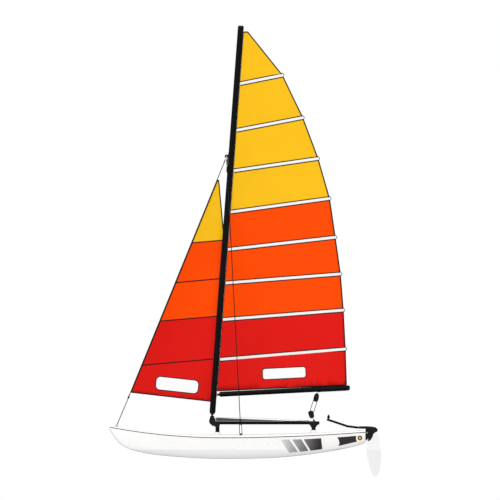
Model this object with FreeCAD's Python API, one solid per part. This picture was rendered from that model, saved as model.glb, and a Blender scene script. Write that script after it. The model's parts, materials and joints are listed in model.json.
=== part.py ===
"""Beach catamaran: two rockered asymmetric hulls, a pylon-mounted tubular frame with a
trampoline, a raked rotating mast with a fully battened mainsail on a boom, a jib set on the
forestay, and twin kick-up rudders joined by a tiller crossbar.

Frame: +X towards the bows, +Y to port, +Z up. The origin lies on the light waterline, on the
centreline, level with the two front pylons. Heights named *_H are above the keel's lowest
point, and a point's Z is its height less the draft. Millimetres throughout.
"""
import FreeCAD
import Part

import math
import os

V = FreeCAD.Vector

# Driving dimensions of the platform
DRAFT = 176.0            # keel's lowest point below the light waterline
BEAM = 2410.0            # outside of one hull to outside of the other
HULL_HALF = 140.0        # widest half breadth of one hull
HULL_Y = BEAM / 2 - HULL_HALF
DECK_MIN_H = 470.0       # deck crown at its lowest
DECK_MIN_X = 150.0
SEAM_MIN_H = 413.0       # joint of hull and deck mouldings at its lowest
SEAM_MIN_X = -100.0
TRANSOM_X = -2905.0
FRONT_PYLON_X = 0.0
REAR_PYLON_X = -1891.0

# Hull offsets from bow to transom: x, keel height, outboard and inboard half breadths
STATIONS = [
    (2135, 598, 7, 7),
    (2095, 535, 18, 16),
    (2030, 428, 34, 28),
    (1930, 308, 54, 42),
    (1790, 216, 76, 57),
    (1600, 151, 98, 75),
    (1350, 100, 117, 95),
    (1000, 57, 131, 116),
    (600, 26, 138, 131),
    (100, 2, 140, 140),
    (-450, 0, 140, 142),
    (-1000, 15, 138, 138),
    (-1600, 62, 131, 126),
    (-2200, 145, 121, 108),
    (TRANSOM_X, 313, 106, 88),
]
# Section shape: share of the half breadth against share of the depth below the seam
OUTBOARD_CURVE = [(0.62, 0.16), (0.90, 0.42), (0.99, 0.72), (1.0, 1.0)]
INBOARD_CURVE = [(0.45, 0.17), (0.83, 0.45), (0.97, 0.75), (1.0, 1.0)]
KEEL_OFFSET = 0.15       # keel stands this share of the half breadth outboard of the middle
DECK_CURVE = [(1.0, 0.0), (0.985, 0.45), (0.87, 0.80), (0.5, 0.95), (0.0, 1.0)]

# Pylons and frame
BOSS_HEIGHT = 49.0
BOSS_BASE_R = 126.0
BOSS_TOP_R = 50.0
PYLON_R = 40.0
RAIL_H = 703.0
RAIL_WIDTH = 50.0
RAIL_DEPTH = 63.0
FRONT_BAR_X, FRONT_BAR_H = 100.0, 739.0
FRONT_BAR_SEMI = (52.0, 66.0)
REAR_BAR_X, REAR_BAR_H = -1899.0, 697.0
REAR_BAR_SEMI = (46.0, 42.0)
BAR_END_Y = 1015.0       # crossbars end here, against the corner castings
CASTING_END_Y = 1115.0
FRONT_SLEEVE_SEMI = (66.0, 76.0)
REAR_SLEEVE_SEMI = (52.0, 48.0)
RAIL_FRONT_X = -50.0     # side rails end here, against the corner castings
RAIL_BACK_X = -1791.0
SOCKET_H = (668.0, 735.0)    # foot and top of a casting's socket for the side rail
SOCKET_HALF = 30.0
REAR_TAIL_X = -1975.0
REAR_TAIL_R = 32.0
# Necks of the castings: middle x, height, half length, half width
FRONT_NECK = [(0, 612, 38, 38), (8, 634, 50, 41), (40, 668, 88, 44), (54, 704, 104, 46)]
REAR_NECK = [(-1891, 602, 38, 38), (-1891, 640, 62, 41), (-1897, 686, 98, 44)]
STRIKER_FOOT_H = 640.0
STRIKER_POST_R = 16.0
STRIKER_ROD_R = 6.0
TRAMPOLINE_THICK = 8.0
TRAMPOLINE_HALF = 1048.0
TRAMPOLINE_LINE = [(50, 806), (-1460, 745), (-1843, 745)]
SKIRT_FRONT = [(22, 737), (40, 805)]     # front edge of each side skirt, hem first
TRAVELLER_HALF = 850.0   # the car's travel each way
TRACK_PAST_TRAVEL = 60.0
TRACK_WIDTH = 28.0
TRACK_RISE = 7.0
TRACK_GAP = 1.5
CAR_HALF_LENGTH = 48.0
CAR_HALF_WIDTH = 24.0
CAR_HEIGHT = 16.0

# Mast: a straight spar raked aft, given by its foot and its masthead
MAST_FOOT = (104.0, 886.0)
MAST_TOP = (-459.0, 8523.0)
MAST_FORE, MAST_AFT, MAST_HALF = 56.0, 62.0, 34.0
MAST_PLUG = 50.0         # length of the mast base casting above the foot
MAST_CAP = 58.0          # length of the masthead casting
VANE_SOCKET_R = 4.0      # hole in the masthead for a wind vane
BALL_H = 862.0
BALL_R = 15.0
BALL_FIT = 0.1           # gap all round the ball
STEP_FOOT_H = 776.0
STEP_SADDLE_H = 812.0    # top of the saddle on the crossbar, foot of the tower
STEP_TOP_H = 846.0
HOUND = (-179.0, 5949.0)     # pin of the shackle that the three stays hang from
SHACKLE_PIN_R = 3.2
LUFF_AXIS_GAP = 14.0     # hinge line of boom and mainsail, behind the mast's aft edge
LUFF_GAP = 5.0           # mainsail's luff, behind the mast's aft edge

# Boom
BOOM_FRONT = (-26.0, 1264.0)
BOOM_BACK = (-2608.0, 1395.0)
BOOM_SEMI = (30.0, 50.0)
BOOM_NOSE = 34.0         # length of the fitting in front of the tube
BOOM_CAP = 34.0          # length of the rounded cap behind it
BOOM_PIN_R = 4.5
PIN_FIT = 0.08           # gap all round a hinge pin
# Mainsheet blocks: top and foot of each as x and height
UPPER_BLOCK = [(-1964.0, 1288.0), (-1926.0, 1120.0)]
LOWER_BLOCK = [(-1824.0, 938.0), (-1868.0, 796.0)]
BLOCK_WIDTH = 104.0
BLOCK_THICK = 66.0

# Mainsail: leech points from head to clew, with the batten each one ends
SAIL_THICK = 6.0
LEAST_BELLY = 2.0
MAIN_HEAD_H = 8398.0
MAIN_LEECH = [
    (-592, 8398, 0.02),
    (-1275, 7545, 0.045),
    (-1676, 6710, 0.055),
    (-1977, 5906, 0.062),
    (-2203, 5120, 0.067),
    (-2315, 4355, 0.070),
    (-2416, 3634, 0.070),
    (-2473, 2922, 0.066),
    (-2512, 2156, 0.055),
    (-2536, 1450, 0.0),
]
MAIN_LUFF_H = [8398, 7383, 6466, 5669, 4857, 4121, 3460, 2741, 1956, 1338]
BATTEN_WIDTH = 58.0
BATTEN_THICK = 12.0
BATTEN_START = 12.0      # behind the luff
BATTEN_OVERHANG = 34.0   # past the leech

# Jib: luff height on the forestay, then leech x, height, offset to starboard, camber share
JIB_SECTIONS = [
    (5493, -22, 5482, 6, 0.02),
    (4247, -130, 4300, 76, 0.045),
    (3462, -86, 3545, 66, 0.055),
    (2706, -38, 2806, 70, 0.058),
    (1838, 24, 1966, 76, 0.052),
    (1306, 84, 1122, 80, 0.035),
]
STAY_R = 8.0
STAY_END_R = 10.0
STAY_END_LENGTH = 70.0
JIB_LUFF_GAP = 10.0      # jib's luff, behind the forestay's middle line
BRIDLE_JOIN = (1749.0, 1212.0)
BOW_TANG_X = 1984.0
TANG_EYE_R = 5.0
SHROUD_FOOT = (-462.0, 1180.0, 470.0)    # x, y and height
ADJUSTER_LENGTH = 222.0

# Rudders
PINTLE_X = -2940.0
PINTLE_R = 4.7
GUDGEON_H = (362.0, 500.0)   # undersides of the two gudgeons
KICK_PIVOT = (-3105.0, 559.0)    # x and height of the axis that a blade kicks up on
KICK_PIN_R = 8.0
BLADE_SECTIONS = [  # height, leading edge x, trailing edge x, thickness
    (503, -2976, -3164, 20),
    (330, -2948, -3190, 20),
    (228, -2934, -3206, 20),
    (60, -2943, -3221, 18),
    (-110, -2980, -3208, 16),
    (-245, -3026, -3184, 14),
    (-320, -3062, -3152, 11),
    (-354, -3086, -3126, 8),
]
TILLER_BEND = (-2560.0, 636.0)
TILLER_TIP = (-2155.0, 771.0)
TILLER_ROOT = (-2776.5, 609.0)
TILLER_R = 22.0
TILLER_PIN_R = 6.0
CROSSBAR = (-2186.0, 816.0)
OPEN_PIN_FIT = 1.5       # gap round the starboard arm's pin, which only drags in its hole
CROSSBAR_R = 17.0
CROSSBAR_CAP_R = 29.0
EXTENSION_H = 851.0
EXTENSION_LENGTH = 1070.0
EXTENSION_R = 10.0
GRIP_R = 13.0
GRIP_LENGTH = 340.0


def at(x, height, y=0.0):
    """Point at a height above the keel's lowest point."""
    return V(x, y, height - DRAFT)


def deck_h(x):
    """Crown of the deck: sheer rises to the bow and a little to the stern."""
    rise = 4.5e-5 if x > DECK_MIN_X else 9.7e-6
    return DECK_MIN_H + rise * (x - DECK_MIN_X) ** 2


def seam_h(x):
    """Joint line of the hull and deck mouldings."""
    rise = 4.2e-5 if x > SEAM_MIN_X else 1.38e-5
    return SEAM_MIN_H + rise * (x - SEAM_MIN_X) ** 2


def spline(points):
    curve = Part.BSplineCurve()
    curve.interpolate(points)
    return curve.toShape()


def line(a, b):
    return Part.LineSegment(a, b).toShape()


def polygon(points):
    return Part.makePolygon(points + [points[0]])


def face_of(edges):
    return Part.Face(Part.Wire(edges))


def rod(a, b, radius):
    """Round bar from point a to point b."""
    return Part.makeCylinder(radius, (b - a).Length, a, b - a)


def fused(shapes):
    body = shapes[0]
    for shape in shapes[1:]:
        body = body.fuse(shape)
    return body.removeSplitter()


def block(x0, x1, y0, y1, h0, h1):
    """Box between two x, two y and two heights."""
    corner = at(min(x0, x1), min(h0, h1), min(y0, y1))
    return Part.makeBox(abs(x1 - x0), abs(y1 - y0), abs(h1 - h0), corner)


def oval_bar(centre, semi, y0, y1):
    """Bar along Y with an oval section, semi axes given along X and Z."""
    ring = [
        V(centre.x + semi[0] * math.cos(a), y0, centre.z + semi[1] * math.sin(a))
        for a in [math.tau * i / 24 for i in range(24)]
    ]
    curve = Part.BSplineCurve()
    curve.interpolate(Points=ring, PeriodicFlag=True)
    return Part.Face(Part.Wire(curve.toShape())).extrude(V(0, y1 - y0, 0))


def mirrored(shape):
    return shape.mirror(V(0, 0, 0), V(0, 1, 0))


# Platform: hulls and decks

def hull_section(station):
    """Closed section of the hull moulding: outboard side, seam, inboard side."""
    x, keel, outboard, inboard = station
    depth = seam_h(x) - keel
    foot = at(x, keel, HULL_Y + KEEL_OFFSET * outboard)
    outer = [at(x, keel + t * depth, HULL_Y + w * outboard) for w, t in OUTBOARD_CURVE]
    inner = [at(x, keel + t * depth, HULL_Y - w * inboard) for w, t in INBOARD_CURVE]
    return Part.Wire([spline([foot] + outer), line(outer[-1], inner[-1]), spline(inner[::-1] + [foot])])


def deck_section(station):
    """Closed section of the deck moulding: seam, then the rounded crown."""
    x, _, outboard, inboard = station
    rise = deck_h(x) - seam_h(x)
    outer = [at(x, seam_h(x) + t * rise, HULL_Y + w * outboard) for w, t in DECK_CURVE]
    inner = [at(x, seam_h(x) + t * rise, HULL_Y - w * inboard) for w, t in DECK_CURVE]
    return Part.Wire([spline(outer + inner[-2::-1]), line(inner[0], outer[0])])


def hull():
    return Part.makeLoft([hull_section(s) for s in STATIONS], True, False)


def boss(x):
    """Flared socket that stands up from the deck around a pylon."""
    top = deck_h(x) + BOSS_HEIGHT
    base = deck_h(x) - 26
    waist = V(x + BOSS_TOP_R + 16, HULL_Y, at(x, deck_h(x) + 14).z)
    rim = at(x + BOSS_TOP_R, top, HULL_Y)
    foot = at(x + BOSS_BASE_R, base + 18, HULL_Y)
    flare = Part.Arc(foot, waist, rim).toShape()
    profile = face_of([
        line(at(x, base, HULL_Y), at(x + BOSS_BASE_R, base, HULL_Y)),
        line(at(x + BOSS_BASE_R, base, HULL_Y), foot),
        flare,
        line(rim, at(x, top, HULL_Y)),
        line(at(x, top, HULL_Y), at(x, base, HULL_Y)),
    ])
    return profile.revolve(at(x, base, HULL_Y), V(0, 0, 1), 360)


def deck():
    shell = Part.makeLoft([deck_section(s) for s in STATIONS], True, False)
    return fused([shell, boss(FRONT_PYLON_X), boss(REAR_PYLON_X)])


# Platform: pylons, castings, rails and crossbars

def pylon(x, top):
    """Tube that stands in a boss, with a flange at its foot."""
    foot = deck_h(x) + BOSS_HEIGHT
    flange = rod(at(x, foot, HULL_Y), at(x, foot + 9, HULL_Y), BOSS_TOP_R - 3)
    return fused([rod(at(x, foot, HULL_Y), at(x, top, HULL_Y), PYLON_R), flange])


def ring(x, height, semi_x, semi_y):
    """Oval wire lying level, for the neck of a corner casting."""
    points = [
        at(x + semi_x * math.cos(a), height, HULL_Y + semi_y * math.sin(a))
        for a in [math.tau * i / 16 for i in range(16)]
    ]
    curve = Part.BSplineCurve()
    curve.interpolate(Points=points, PeriodicFlag=True)
    return Part.Wire(curve.toShape())


def front_casting():
    """Corner casting that joins front crossbar, side rail and pylon."""
    sleeve = oval_bar(at(FRONT_BAR_X, FRONT_BAR_H), FRONT_SLEEVE_SEMI, BAR_END_Y, CASTING_END_Y)
    socket = block(RAIL_FRONT_X, FRONT_BAR_X - 30, HULL_Y - SOCKET_HALF, HULL_Y + SOCKET_HALF, *SOCKET_H)
    neck = Part.makeLoft([ring(*row) for row in FRONT_NECK], True, False)
    return fused([sleeve, socket, neck])


def rear_casting():
    """Corner casting that joins rear crossbar, side rail and pylon."""
    sleeve = oval_bar(at(REAR_BAR_X, REAR_BAR_H), REAR_SLEEVE_SEMI, BAR_END_Y, CASTING_END_Y)
    socket = block(RAIL_BACK_X, REAR_BAR_X, HULL_Y - SOCKET_HALF, HULL_Y + SOCKET_HALF, *SOCKET_H)
    tail = rod(*(at(REAR_TAIL_X, height, HULL_Y) for height in SOCKET_H), REAR_TAIL_R)
    spine = block(REAR_TAIL_X, REAR_BAR_X, HULL_Y - REAR_TAIL_R, HULL_Y + REAR_TAIL_R, *SOCKET_H)
    neck = Part.makeLoft([ring(*row) for row in REAR_NECK], True, False)
    return fused([sleeve, socket, spine, tail, neck])


def side_rail():
    """Rail over one hull, between the front and rear castings."""
    half_w, half_d, corner = RAIL_WIDTH / 2, RAIL_DEPTH / 2, 14
    bar = block(RAIL_FRONT_X, RAIL_BACK_X, HULL_Y - half_w, HULL_Y + half_w,
                RAIL_H - half_d, RAIL_H + half_d)
    long_edges = [e for e in bar.Edges if abs(e.tangentAt(e.FirstParameter).x) > 0.99]
    return bar.makeFillet(corner, long_edges)


def front_crossbar():
    return oval_bar(at(FRONT_BAR_X, FRONT_BAR_H), FRONT_BAR_SEMI, -BAR_END_Y, BAR_END_Y)


def rear_crossbar():
    return oval_bar(at(REAR_BAR_X, REAR_BAR_H), REAR_BAR_SEMI, -BAR_END_Y, BAR_END_Y)


def dolphin_striker():
    """Post under the middle of the front crossbar and the rod that trusses it."""
    lug_h = FRONT_BAR_H - FRONT_BAR_SEMI[1] + 1
    rod_h = STRIKER_FOOT_H + 8
    post = rod(at(FRONT_BAR_X, STRIKER_FOOT_H), at(FRONT_BAR_X, lug_h), STRIKER_POST_R)
    post = post.cut(front_crossbar())
    arms = []
    for side in (-1, 1):
        end = at(FRONT_BAR_X, lug_h - 12, side * (BAR_END_Y - 55))
        arms.append(rod(at(FRONT_BAR_X, rod_h), end, STRIKER_ROD_R))
        lug = block(FRONT_BAR_X - 9, FRONT_BAR_X + 9, end.y - 22, end.y + 22, lug_h - 22, lug_h + 4)
        arms.append(lug.cut(front_crossbar()))
    return fused([post, Part.makeSphere(STRIKER_POST_R, at(FRONT_BAR_X, rod_h))] + arms)


def trampoline():
    """Stretched fabric, highest at the front crossbar, with a skirt down to each side rail."""
    top = [at(x, h) for x, h in TRAMPOLINE_LINE]
    low = [at(x, h - TRAMPOLINE_THICK) for x, h in TRAMPOLINE_LINE[::-1]]
    start = V(0, -TRAMPOLINE_HALF, 0)
    sheet = Part.Face(polygon([p + start for p in top + low])).extrude(V(0, 2 * TRAMPOLINE_HALF, 0))
    hem_front, top_front = (at(*p) for p in SKIRT_FRONT)
    skirt_line = [hem_front, V(top[1].x, 0, hem_front.z), top[1], top_front]
    skirts = []
    for side in (-1, 1):
        y = side * TRAMPOLINE_HALF
        face = Part.Face(polygon([p + V(0, y, 0) for p in skirt_line]))
        skirts.append(face.extrude(V(0, -side * TRAMPOLINE_THICK, 0)))
    return fused([sheet] + skirts)


def traveller_track():
    """Track along the top of the rear crossbar."""
    x, top = REAR_BAR_X, REAR_BAR_H + REAR_BAR_SEMI[1]
    reach = TRAVELLER_HALF + TRACK_PAST_TRAVEL
    rail = block(x - TRACK_WIDTH / 2, x + TRACK_WIDTH / 2, -reach, reach, top - 5, top + TRACK_RISE)
    return rail.cut(rear_crossbar())


def traveller_car():
    """Car that runs along the track, with an eye for the mainsheet's shackle."""
    x, top = REAR_BAR_X, REAR_BAR_H + REAR_BAR_SEMI[1] + TRACK_RISE + TRACK_GAP
    base = block(x - CAR_HALF_WIDTH, x + CAR_HALF_WIDTH, -CAR_HALF_LENGTH, CAR_HALF_LENGTH,
                 top, top + CAR_HEIGHT)
    base = base.makeFillet(6, [e for e in base.Edges if abs(e.tangentAt(e.FirstParameter).z) > 0.9])
    eye = block(x - 5, x + 5, -14, 14, top + CAR_HEIGHT, top + CAR_HEIGHT + 10)
    return fused([base, eye])


# Standing rigging

def shroud_top():
    return at(HOUND[0] - 2, HOUND[1] - 66, 34)


def forestay_top():
    return at(HOUND[0] + 22, HOUND[1] - 60)


def hound_shackle():
    """Shackle through the mast tang, with the collar that gathers the three stays."""
    x, height = HOUND
    cheek_y, collar_h = 19, height - 54
    pin = rod(at(x, height, -cheek_y), at(x, height, cheek_y), SHACKLE_PIN_R)
    cheeks = [
        block(x - 8, x + 8, side * cheek_y - 3, side * cheek_y + 3, collar_h - 4, height + 10)
        for side in (-1, 1)
    ]
    collar = rod(at(x, collar_h, -42), at(x, collar_h, 42), 11)
    return fused([pin, collar] + cheeks)


def stay(a, b):
    """Wire with a swaged terminal at each end."""
    along = (b - a).normalize()
    swage = along * STAY_END_LENGTH
    ends = [rod(a, a + swage, STAY_END_R), rod(b - swage, b, STAY_END_R)]
    return fused([rod(a, b, STAY_R)] + ends)


def forestay():
    """From the shackle to the bridle, ending in the fork that takes the bridle wires."""
    x, height = BRIDLE_JOIN
    fork = block(x - 18, x + 18, -12, 12, height - 26, height + 16)
    return fused([stay(forestay_top(), at(x, height)), fork])


def shroud_line():
    """Port shroud's foot on the deck edge, and the direction of its wire."""
    foot = at(SHROUD_FOOT[0], SHROUD_FOOT[2], SHROUD_FOOT[1])
    return foot, (shroud_top() - foot).normalize()


def shroud():
    """Port shroud, from the shackle collar to its adjuster."""
    foot, along = shroud_line()
    return stay(shroud_top(), foot + along * ADJUSTER_LENGTH)


def shroud_adjuster():
    """Port chainplate on the deck edge and the long link that ties the shroud to it."""
    x, y, height = SHROUD_FOOT
    foot, along = shroud_line()
    out = along.cross(V(1, 0, 0)).normalize()
    low, high = foot + along * 26, foot + along * (ADJUSTER_LENGTH - 32)
    solid = link_solid(low, high, along, out, 30, 4)
    hollow = link_solid(low + along * 14, high - along * 8, along, out, 17, 9)
    boss = rod(high + along * 14, high + along * 30, 13)
    base = block(x - 24, x + 24, y - 11, y + 11, height - 26, height + 2)
    return fused([solid.cut(hollow), boss, base]).cut(deck()).cut(hull())


def link_solid(low, high, along, out, radius, half_thick):
    """Long flat link with round ends, about the line from low to high."""
    side = V(1, 0, 0)
    a, b, c, d = low - side * radius, low + side * radius, high + side * radius, high - side * radius
    foot_arc = Part.Arc(a, low - along * radius, b).toShape()
    head_arc = Part.Arc(c, high + along * radius, d).toShape()
    flat = face_of([foot_arc, line(b, c), head_arc, line(d, a)])
    flat.translate(out * -half_thick)
    return flat.extrude(out * (2 * half_thick))


def bow_tang_top():
    return deck_h(BOW_TANG_X) + 34


def bow_tang():
    """Port bow tang: a plate on the foredeck with an eye for the bridle and a spare eye."""
    top = bow_tang_top()
    plate = block(BOW_TANG_X - 22, BOW_TANG_X + 34, HULL_Y - 3, HULL_Y + 3, top - 44, top + 8)
    plate = plate.cut(deck())
    eye_x, eye_h = BOW_TANG_X + 22, top - 6
    eye = rod(at(eye_x, eye_h, HULL_Y - 10), at(eye_x, eye_h, HULL_Y + 10), TANG_EYE_R)
    return max(plate.cut(eye).Solids, key=lambda s: s.CenterOfMass.z)


def bridle_wire():
    """Port bridle wire, from the bow tang to the fork under the forestay."""
    low = at(BOW_TANG_X - 8, bow_tang_top() + 12, HULL_Y - 6)
    high = at(BRIDLE_JOIN[0], BRIDLE_JOIN[1] - 6, 21)
    return stay(high, low)


# Mast, on its own axis

def mast_axis():
    return (at(*MAST_TOP) - at(*MAST_FOOT)).normalize()


def mast_point(along, fore=0.0, side=0.0):
    """Point at a distance up the mast, ahead of its middle line and to port."""
    axis = mast_axis()
    ahead = V(axis.z, 0, -axis.x)
    return at(*MAST_FOOT) + axis * along + ahead * fore + V(0, side, 0)


def mast_station(height):
    """Distance up the mast at which its middle line reaches a height."""
    return (height - MAST_FOOT[1]) / mast_axis().z


def mast_outline(along, grow=0.0):
    """Pear-shaped section, blunt in front and narrow behind, where the luff track is."""
    fore, aft, half = MAST_FORE + grow, MAST_AFT + grow, MAST_HALF + grow
    nose = spline([
        mast_point(along, -4, -half), mast_point(along, fore * 0.72, -half * 0.72),
        mast_point(along, fore, 0),
        mast_point(along, fore * 0.72, half * 0.72), mast_point(along, -4, half)])
    port = spline([
        mast_point(along, -4, half), mast_point(along, -aft * 0.55, half * 0.72),
        mast_point(along, -aft, half * 0.30)])
    back = line(mast_point(along, -aft, half * 0.30), mast_point(along, -aft, -half * 0.30))
    starboard = spline([
        mast_point(along, -aft, -half * 0.30), mast_point(along, -aft * 0.55, -half * 0.72),
        mast_point(along, -4, -half)])
    return Part.Wire([nose, port, back, starboard])


def mast_length():
    return (at(*MAST_TOP) - at(*MAST_FOOT)).Length


def mast():
    length = mast_length() - MAST_CAP - MAST_PLUG
    return Part.Face(mast_outline(MAST_PLUG)).extrude(mast_axis() * length)


def mast_step():
    """Casting on the front crossbar that carries the mast ball."""
    saddle = block(FRONT_BAR_X - 38, FRONT_BAR_X + 50, -52, 52, STEP_FOOT_H, STEP_SADDLE_H)
    saddle = saddle.cut(front_crossbar())
    saddle = max(saddle.Solids, key=lambda s: s.Volume)
    tower = Part.makeCone(50, 28, STEP_TOP_H - STEP_SADDLE_H, at(MAST_FOOT[0], STEP_SADDLE_H))
    neck = rod(at(MAST_FOOT[0], STEP_TOP_H - 1), at(MAST_FOOT[0], BALL_H - 8), 11)
    ball = Part.makeSphere(BALL_R, at(MAST_FOOT[0], BALL_H))
    return fused([saddle, tower, neck, ball])


def mast_base():
    """Casting in the mast's foot, hollowed to turn on the ball."""
    ball = at(MAST_FOOT[0], BALL_H)
    turning = (at(*HOUND) - ball).normalize()
    rounding = [(-4, -20), (8, -11), (24, -4), (MAST_PLUG, 2)]
    plug = Part.makeLoft([mast_outline(*step) for step in rounding], True, True)
    cup = rod(ball - turning * 5, ball + turning * 26, 27)
    hollow = Part.makeSphere(BALL_R + BALL_FIT, ball)
    return fused([plug, cup]).cut(hollow)


def masthead():
    """Cap casting with its halyard sheave box and a socket for a wind vane."""
    length = mast_length()
    sections = [
        mast_outline(length - MAST_CAP, 2), mast_outline(length - 32, 1),
        mast_outline(length - 12, -8), mast_outline(length, -24)]
    cap = Part.makeLoft(sections, True, True)
    sheave = length - 42
    crane = rod(mast_point(sheave, -MAST_AFT + 8, -7), mast_point(sheave, -MAST_AFT + 8, 7), 11)
    socket = rod(mast_point(length - 25), mast_point(length + 5), VANE_SOCKET_R)
    return fused([cap, crane]).cut(socket)


def mast_tang():
    """Plate riveted to the mast's leading edge that carries the hound shackle."""
    hole = at(*HOUND)
    nearest = mast_point(mast_station(HOUND[1]), MAST_FORE)
    plate = block(nearest.x - 14, HOUND[0] + 11, -3, 3, HOUND[1] - 14, HOUND[1] + 30)
    strap = block(nearest.x - 30, nearest.x + 4, -3, 3, HOUND[1] - 60, HOUND[1] + 60)
    spar = Part.Face(mast_outline(mast_station(HOUND[1]) - 300)).extrude(mast_axis() * 600)
    body = fused([plate, strap]).cut(spar)
    body = max(body.Solids, key=lambda s: s.CenterOfMass.x)
    return body.cut(rod(hole - V(0, 10, 0), hole + V(0, 10, 0), 6.5))


def boom_hinge():
    """Distance up the mast of the boom's pin, and its offset ahead of the mast's middle line."""
    return mast_station(BOOM_FRONT[1]), -(MAST_AFT + LUFF_AXIS_GAP)


def gooseneck():
    """Bracket on the mast's aft edge whose pin the boom turns on."""
    station, hinge = boom_hinge()
    lugs = []
    for low in (-30, 22):
        a = mast_point(station + low, hinge)
        lug = rod(a, a + mast_axis() * 8, 10)
        arm_corner = [mast_point(station + low, hinge, s) for s in (-9, 9)]
        arm_corner += [mast_point(station + low, -MAST_AFT + 1, s) for s in (9, -9)]
        arm = Part.Face(polygon(arm_corner)).extrude(mast_axis() * 8)
        lugs += [lug, arm]
    plate_corner = [mast_point(station - 34, -MAST_AFT, s) for s in (-9, 9)]
    plate_corner += [mast_point(station - 34, -MAST_AFT - 3, s) for s in (9, -9)]
    plate = Part.Face(polygon(plate_corner)).extrude(mast_axis() * 68)
    pin = rod(mast_point(station - 34, hinge), mast_point(station + 34, hinge), BOOM_PIN_R)
    spar = Part.Face(mast_outline(station - 100)).extrude(mast_axis() * 200)
    return fused([plate, pin] + lugs).cut(spar)


# Boom and its tackle

def boom_axis():
    return (at(*BOOM_BACK) - at(*BOOM_FRONT)).normalize()


def boom_point(along, up=0.0, side=0.0):
    axis = boom_axis()
    above = V(axis.z, 0, -axis.x)
    return at(*BOOM_FRONT) + axis * along + above * up + V(0, side, 0)


def boom_outline(along, grow=0.0):
    points = [
        boom_point(along, (BOOM_SEMI[1] + grow) * math.sin(a), (BOOM_SEMI[0] + grow) * math.cos(a))
        for a in [math.tau * i / 20 for i in range(20)]
    ]
    curve = Part.BSplineCurve()
    curve.interpolate(Points=points, PeriodicFlag=True)
    return Part.Wire(curve.toShape())


def boom_length():
    return (at(*BOOM_BACK) - at(*BOOM_FRONT)).Length


def boom():
    length = boom_length() - BOOM_NOSE - BOOM_CAP
    return Part.Face(boom_outline(BOOM_NOSE)).extrude(boom_axis() * length)


def boom_front_fitting():
    """End plug of the boom, narrowing to the eye on the gooseneck pin."""
    station, hinge = boom_hinge()
    eye = rod(mast_point(station - 20, hinge), mast_point(station + 20, hinge), 9)
    tongue_corner = [mast_point(station - 20, hinge, s) for s in (-8, 8)]
    tongue_corner += [mast_point(station - 20, hinge - 42, s) for s in (8, -8)]
    tongue = Part.Face(polygon(tongue_corner)).extrude(mast_axis() * 40)
    rounding = [(6, -22), (14, -8), (BOOM_NOSE, -1)]
    plug = Part.makeLoft([boom_outline(*step) for step in rounding], True, True)
    pin = rod(mast_point(station - 60, hinge), mast_point(station + 60, hinge), BOOM_PIN_R + PIN_FIT)
    return fused([eye, tongue, plug]).cut(pin)


def boom_end_cap():
    """Plug with a rounded end."""
    start = boom_length() - BOOM_CAP
    rounding = [(0, 0), (14, -3), (26, -11), (BOOM_CAP, -25)]
    return Part.makeLoft([boom_outline(start + along, grow) for along, grow in rounding], True, True)


def block_body(top, foot, width):
    """Pulley block: tapered cheeks about the line from its top to its foot."""
    along = (foot - top).normalize()
    ahead = V(0, 1, 0).cross(along).normalize()
    shape = [(0.0, 0.34), (0.14, 0.82), (0.5, 1.0), (0.86, 0.92), (1.0, 0.52)]
    length = (foot - top).Length
    left = [top + along * (length * t) + ahead * (width / 2 * w) for t, w in shape]
    right = [top + along * (length * t) - ahead * (width / 2 * w) for t, w in shape]
    edges = [spline(left), line(left[-1], right[-1]), spline(right[::-1]), line(right[0], left[0])]
    cheeks = face_of(edges).extrude(V(0, BLOCK_THICK, 0))
    cheeks.translate(V(0, -BLOCK_THICK / 2, 0))
    return cheeks


def mainsheet_upper_block():
    """Triple block, hung from a hanger under the boom."""
    top, foot = (at(*p) for p in UPPER_BLOCK)
    along = (foot - top).normalize()
    hanger = rod(top - along * 34, top + along * 8, 7)
    spar = Part.Face(boom_outline(1700)).extrude(boom_axis() * 500)
    return fused([block_body(top, foot, BLOCK_WIDTH), hanger]).cut(spar)


def mainsheet_lower_block():
    """Triple block above the traveller, with the eye for its shackle."""
    top, foot = (at(*p) for p in LOWER_BLOCK)
    eye_x, eye_h = LOWER_BLOCK[1][0] - 10, LOWER_BLOCK[1][1] - 4
    eye = rod(at(eye_x, eye_h, -9), at(eye_x, eye_h, 9), 9)
    return fused([block_body(top, foot, BLOCK_WIDTH), eye])


# Sails: thin bellied solids between chord-wise sections

def bellied_edge(luff, leech, depth, shift):
    """Arc from luff to leech, bellied to starboard, shifted sideways by half a thickness."""
    middle = (luff + leech) * 0.5
    sideways = V(0, shift, 0)
    deep = middle + V(0, -depth, 0)
    return Part.Arc(luff + sideways, deep + sideways, leech + sideways).toShape()


def thin_outline(port, starboard):
    """Closed outline of two edges that run side by side."""
    start = line(starboard.valueAt(starboard.FirstParameter), port.valueAt(port.FirstParameter))
    end = line(port.valueAt(port.LastParameter), starboard.valueAt(starboard.LastParameter))
    return Part.Wire([port, end, starboard, start])


def sail_section(luff, leech, camber):
    depth = max(camber * (leech - luff).Length, LEAST_BELLY)
    half = SAIL_THICK / 2
    return thin_outline(bellied_edge(luff, leech, depth, half), bellied_edge(luff, leech, depth, -half))


def main_edges():
    """Luff and leech points of the mainsail's sections from head to foot."""
    rows = []
    for height, (x, leech_h, camber) in zip(MAIN_LUFF_H, MAIN_LEECH):
        luff = mast_point(mast_station(height), -(MAST_AFT + LUFF_GAP))
        rows.append((luff, at(x, leech_h), camber))
    return rows


def mainsail():
    return Part.makeLoft([sail_section(*row) for row in main_edges()], True, True)


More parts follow.
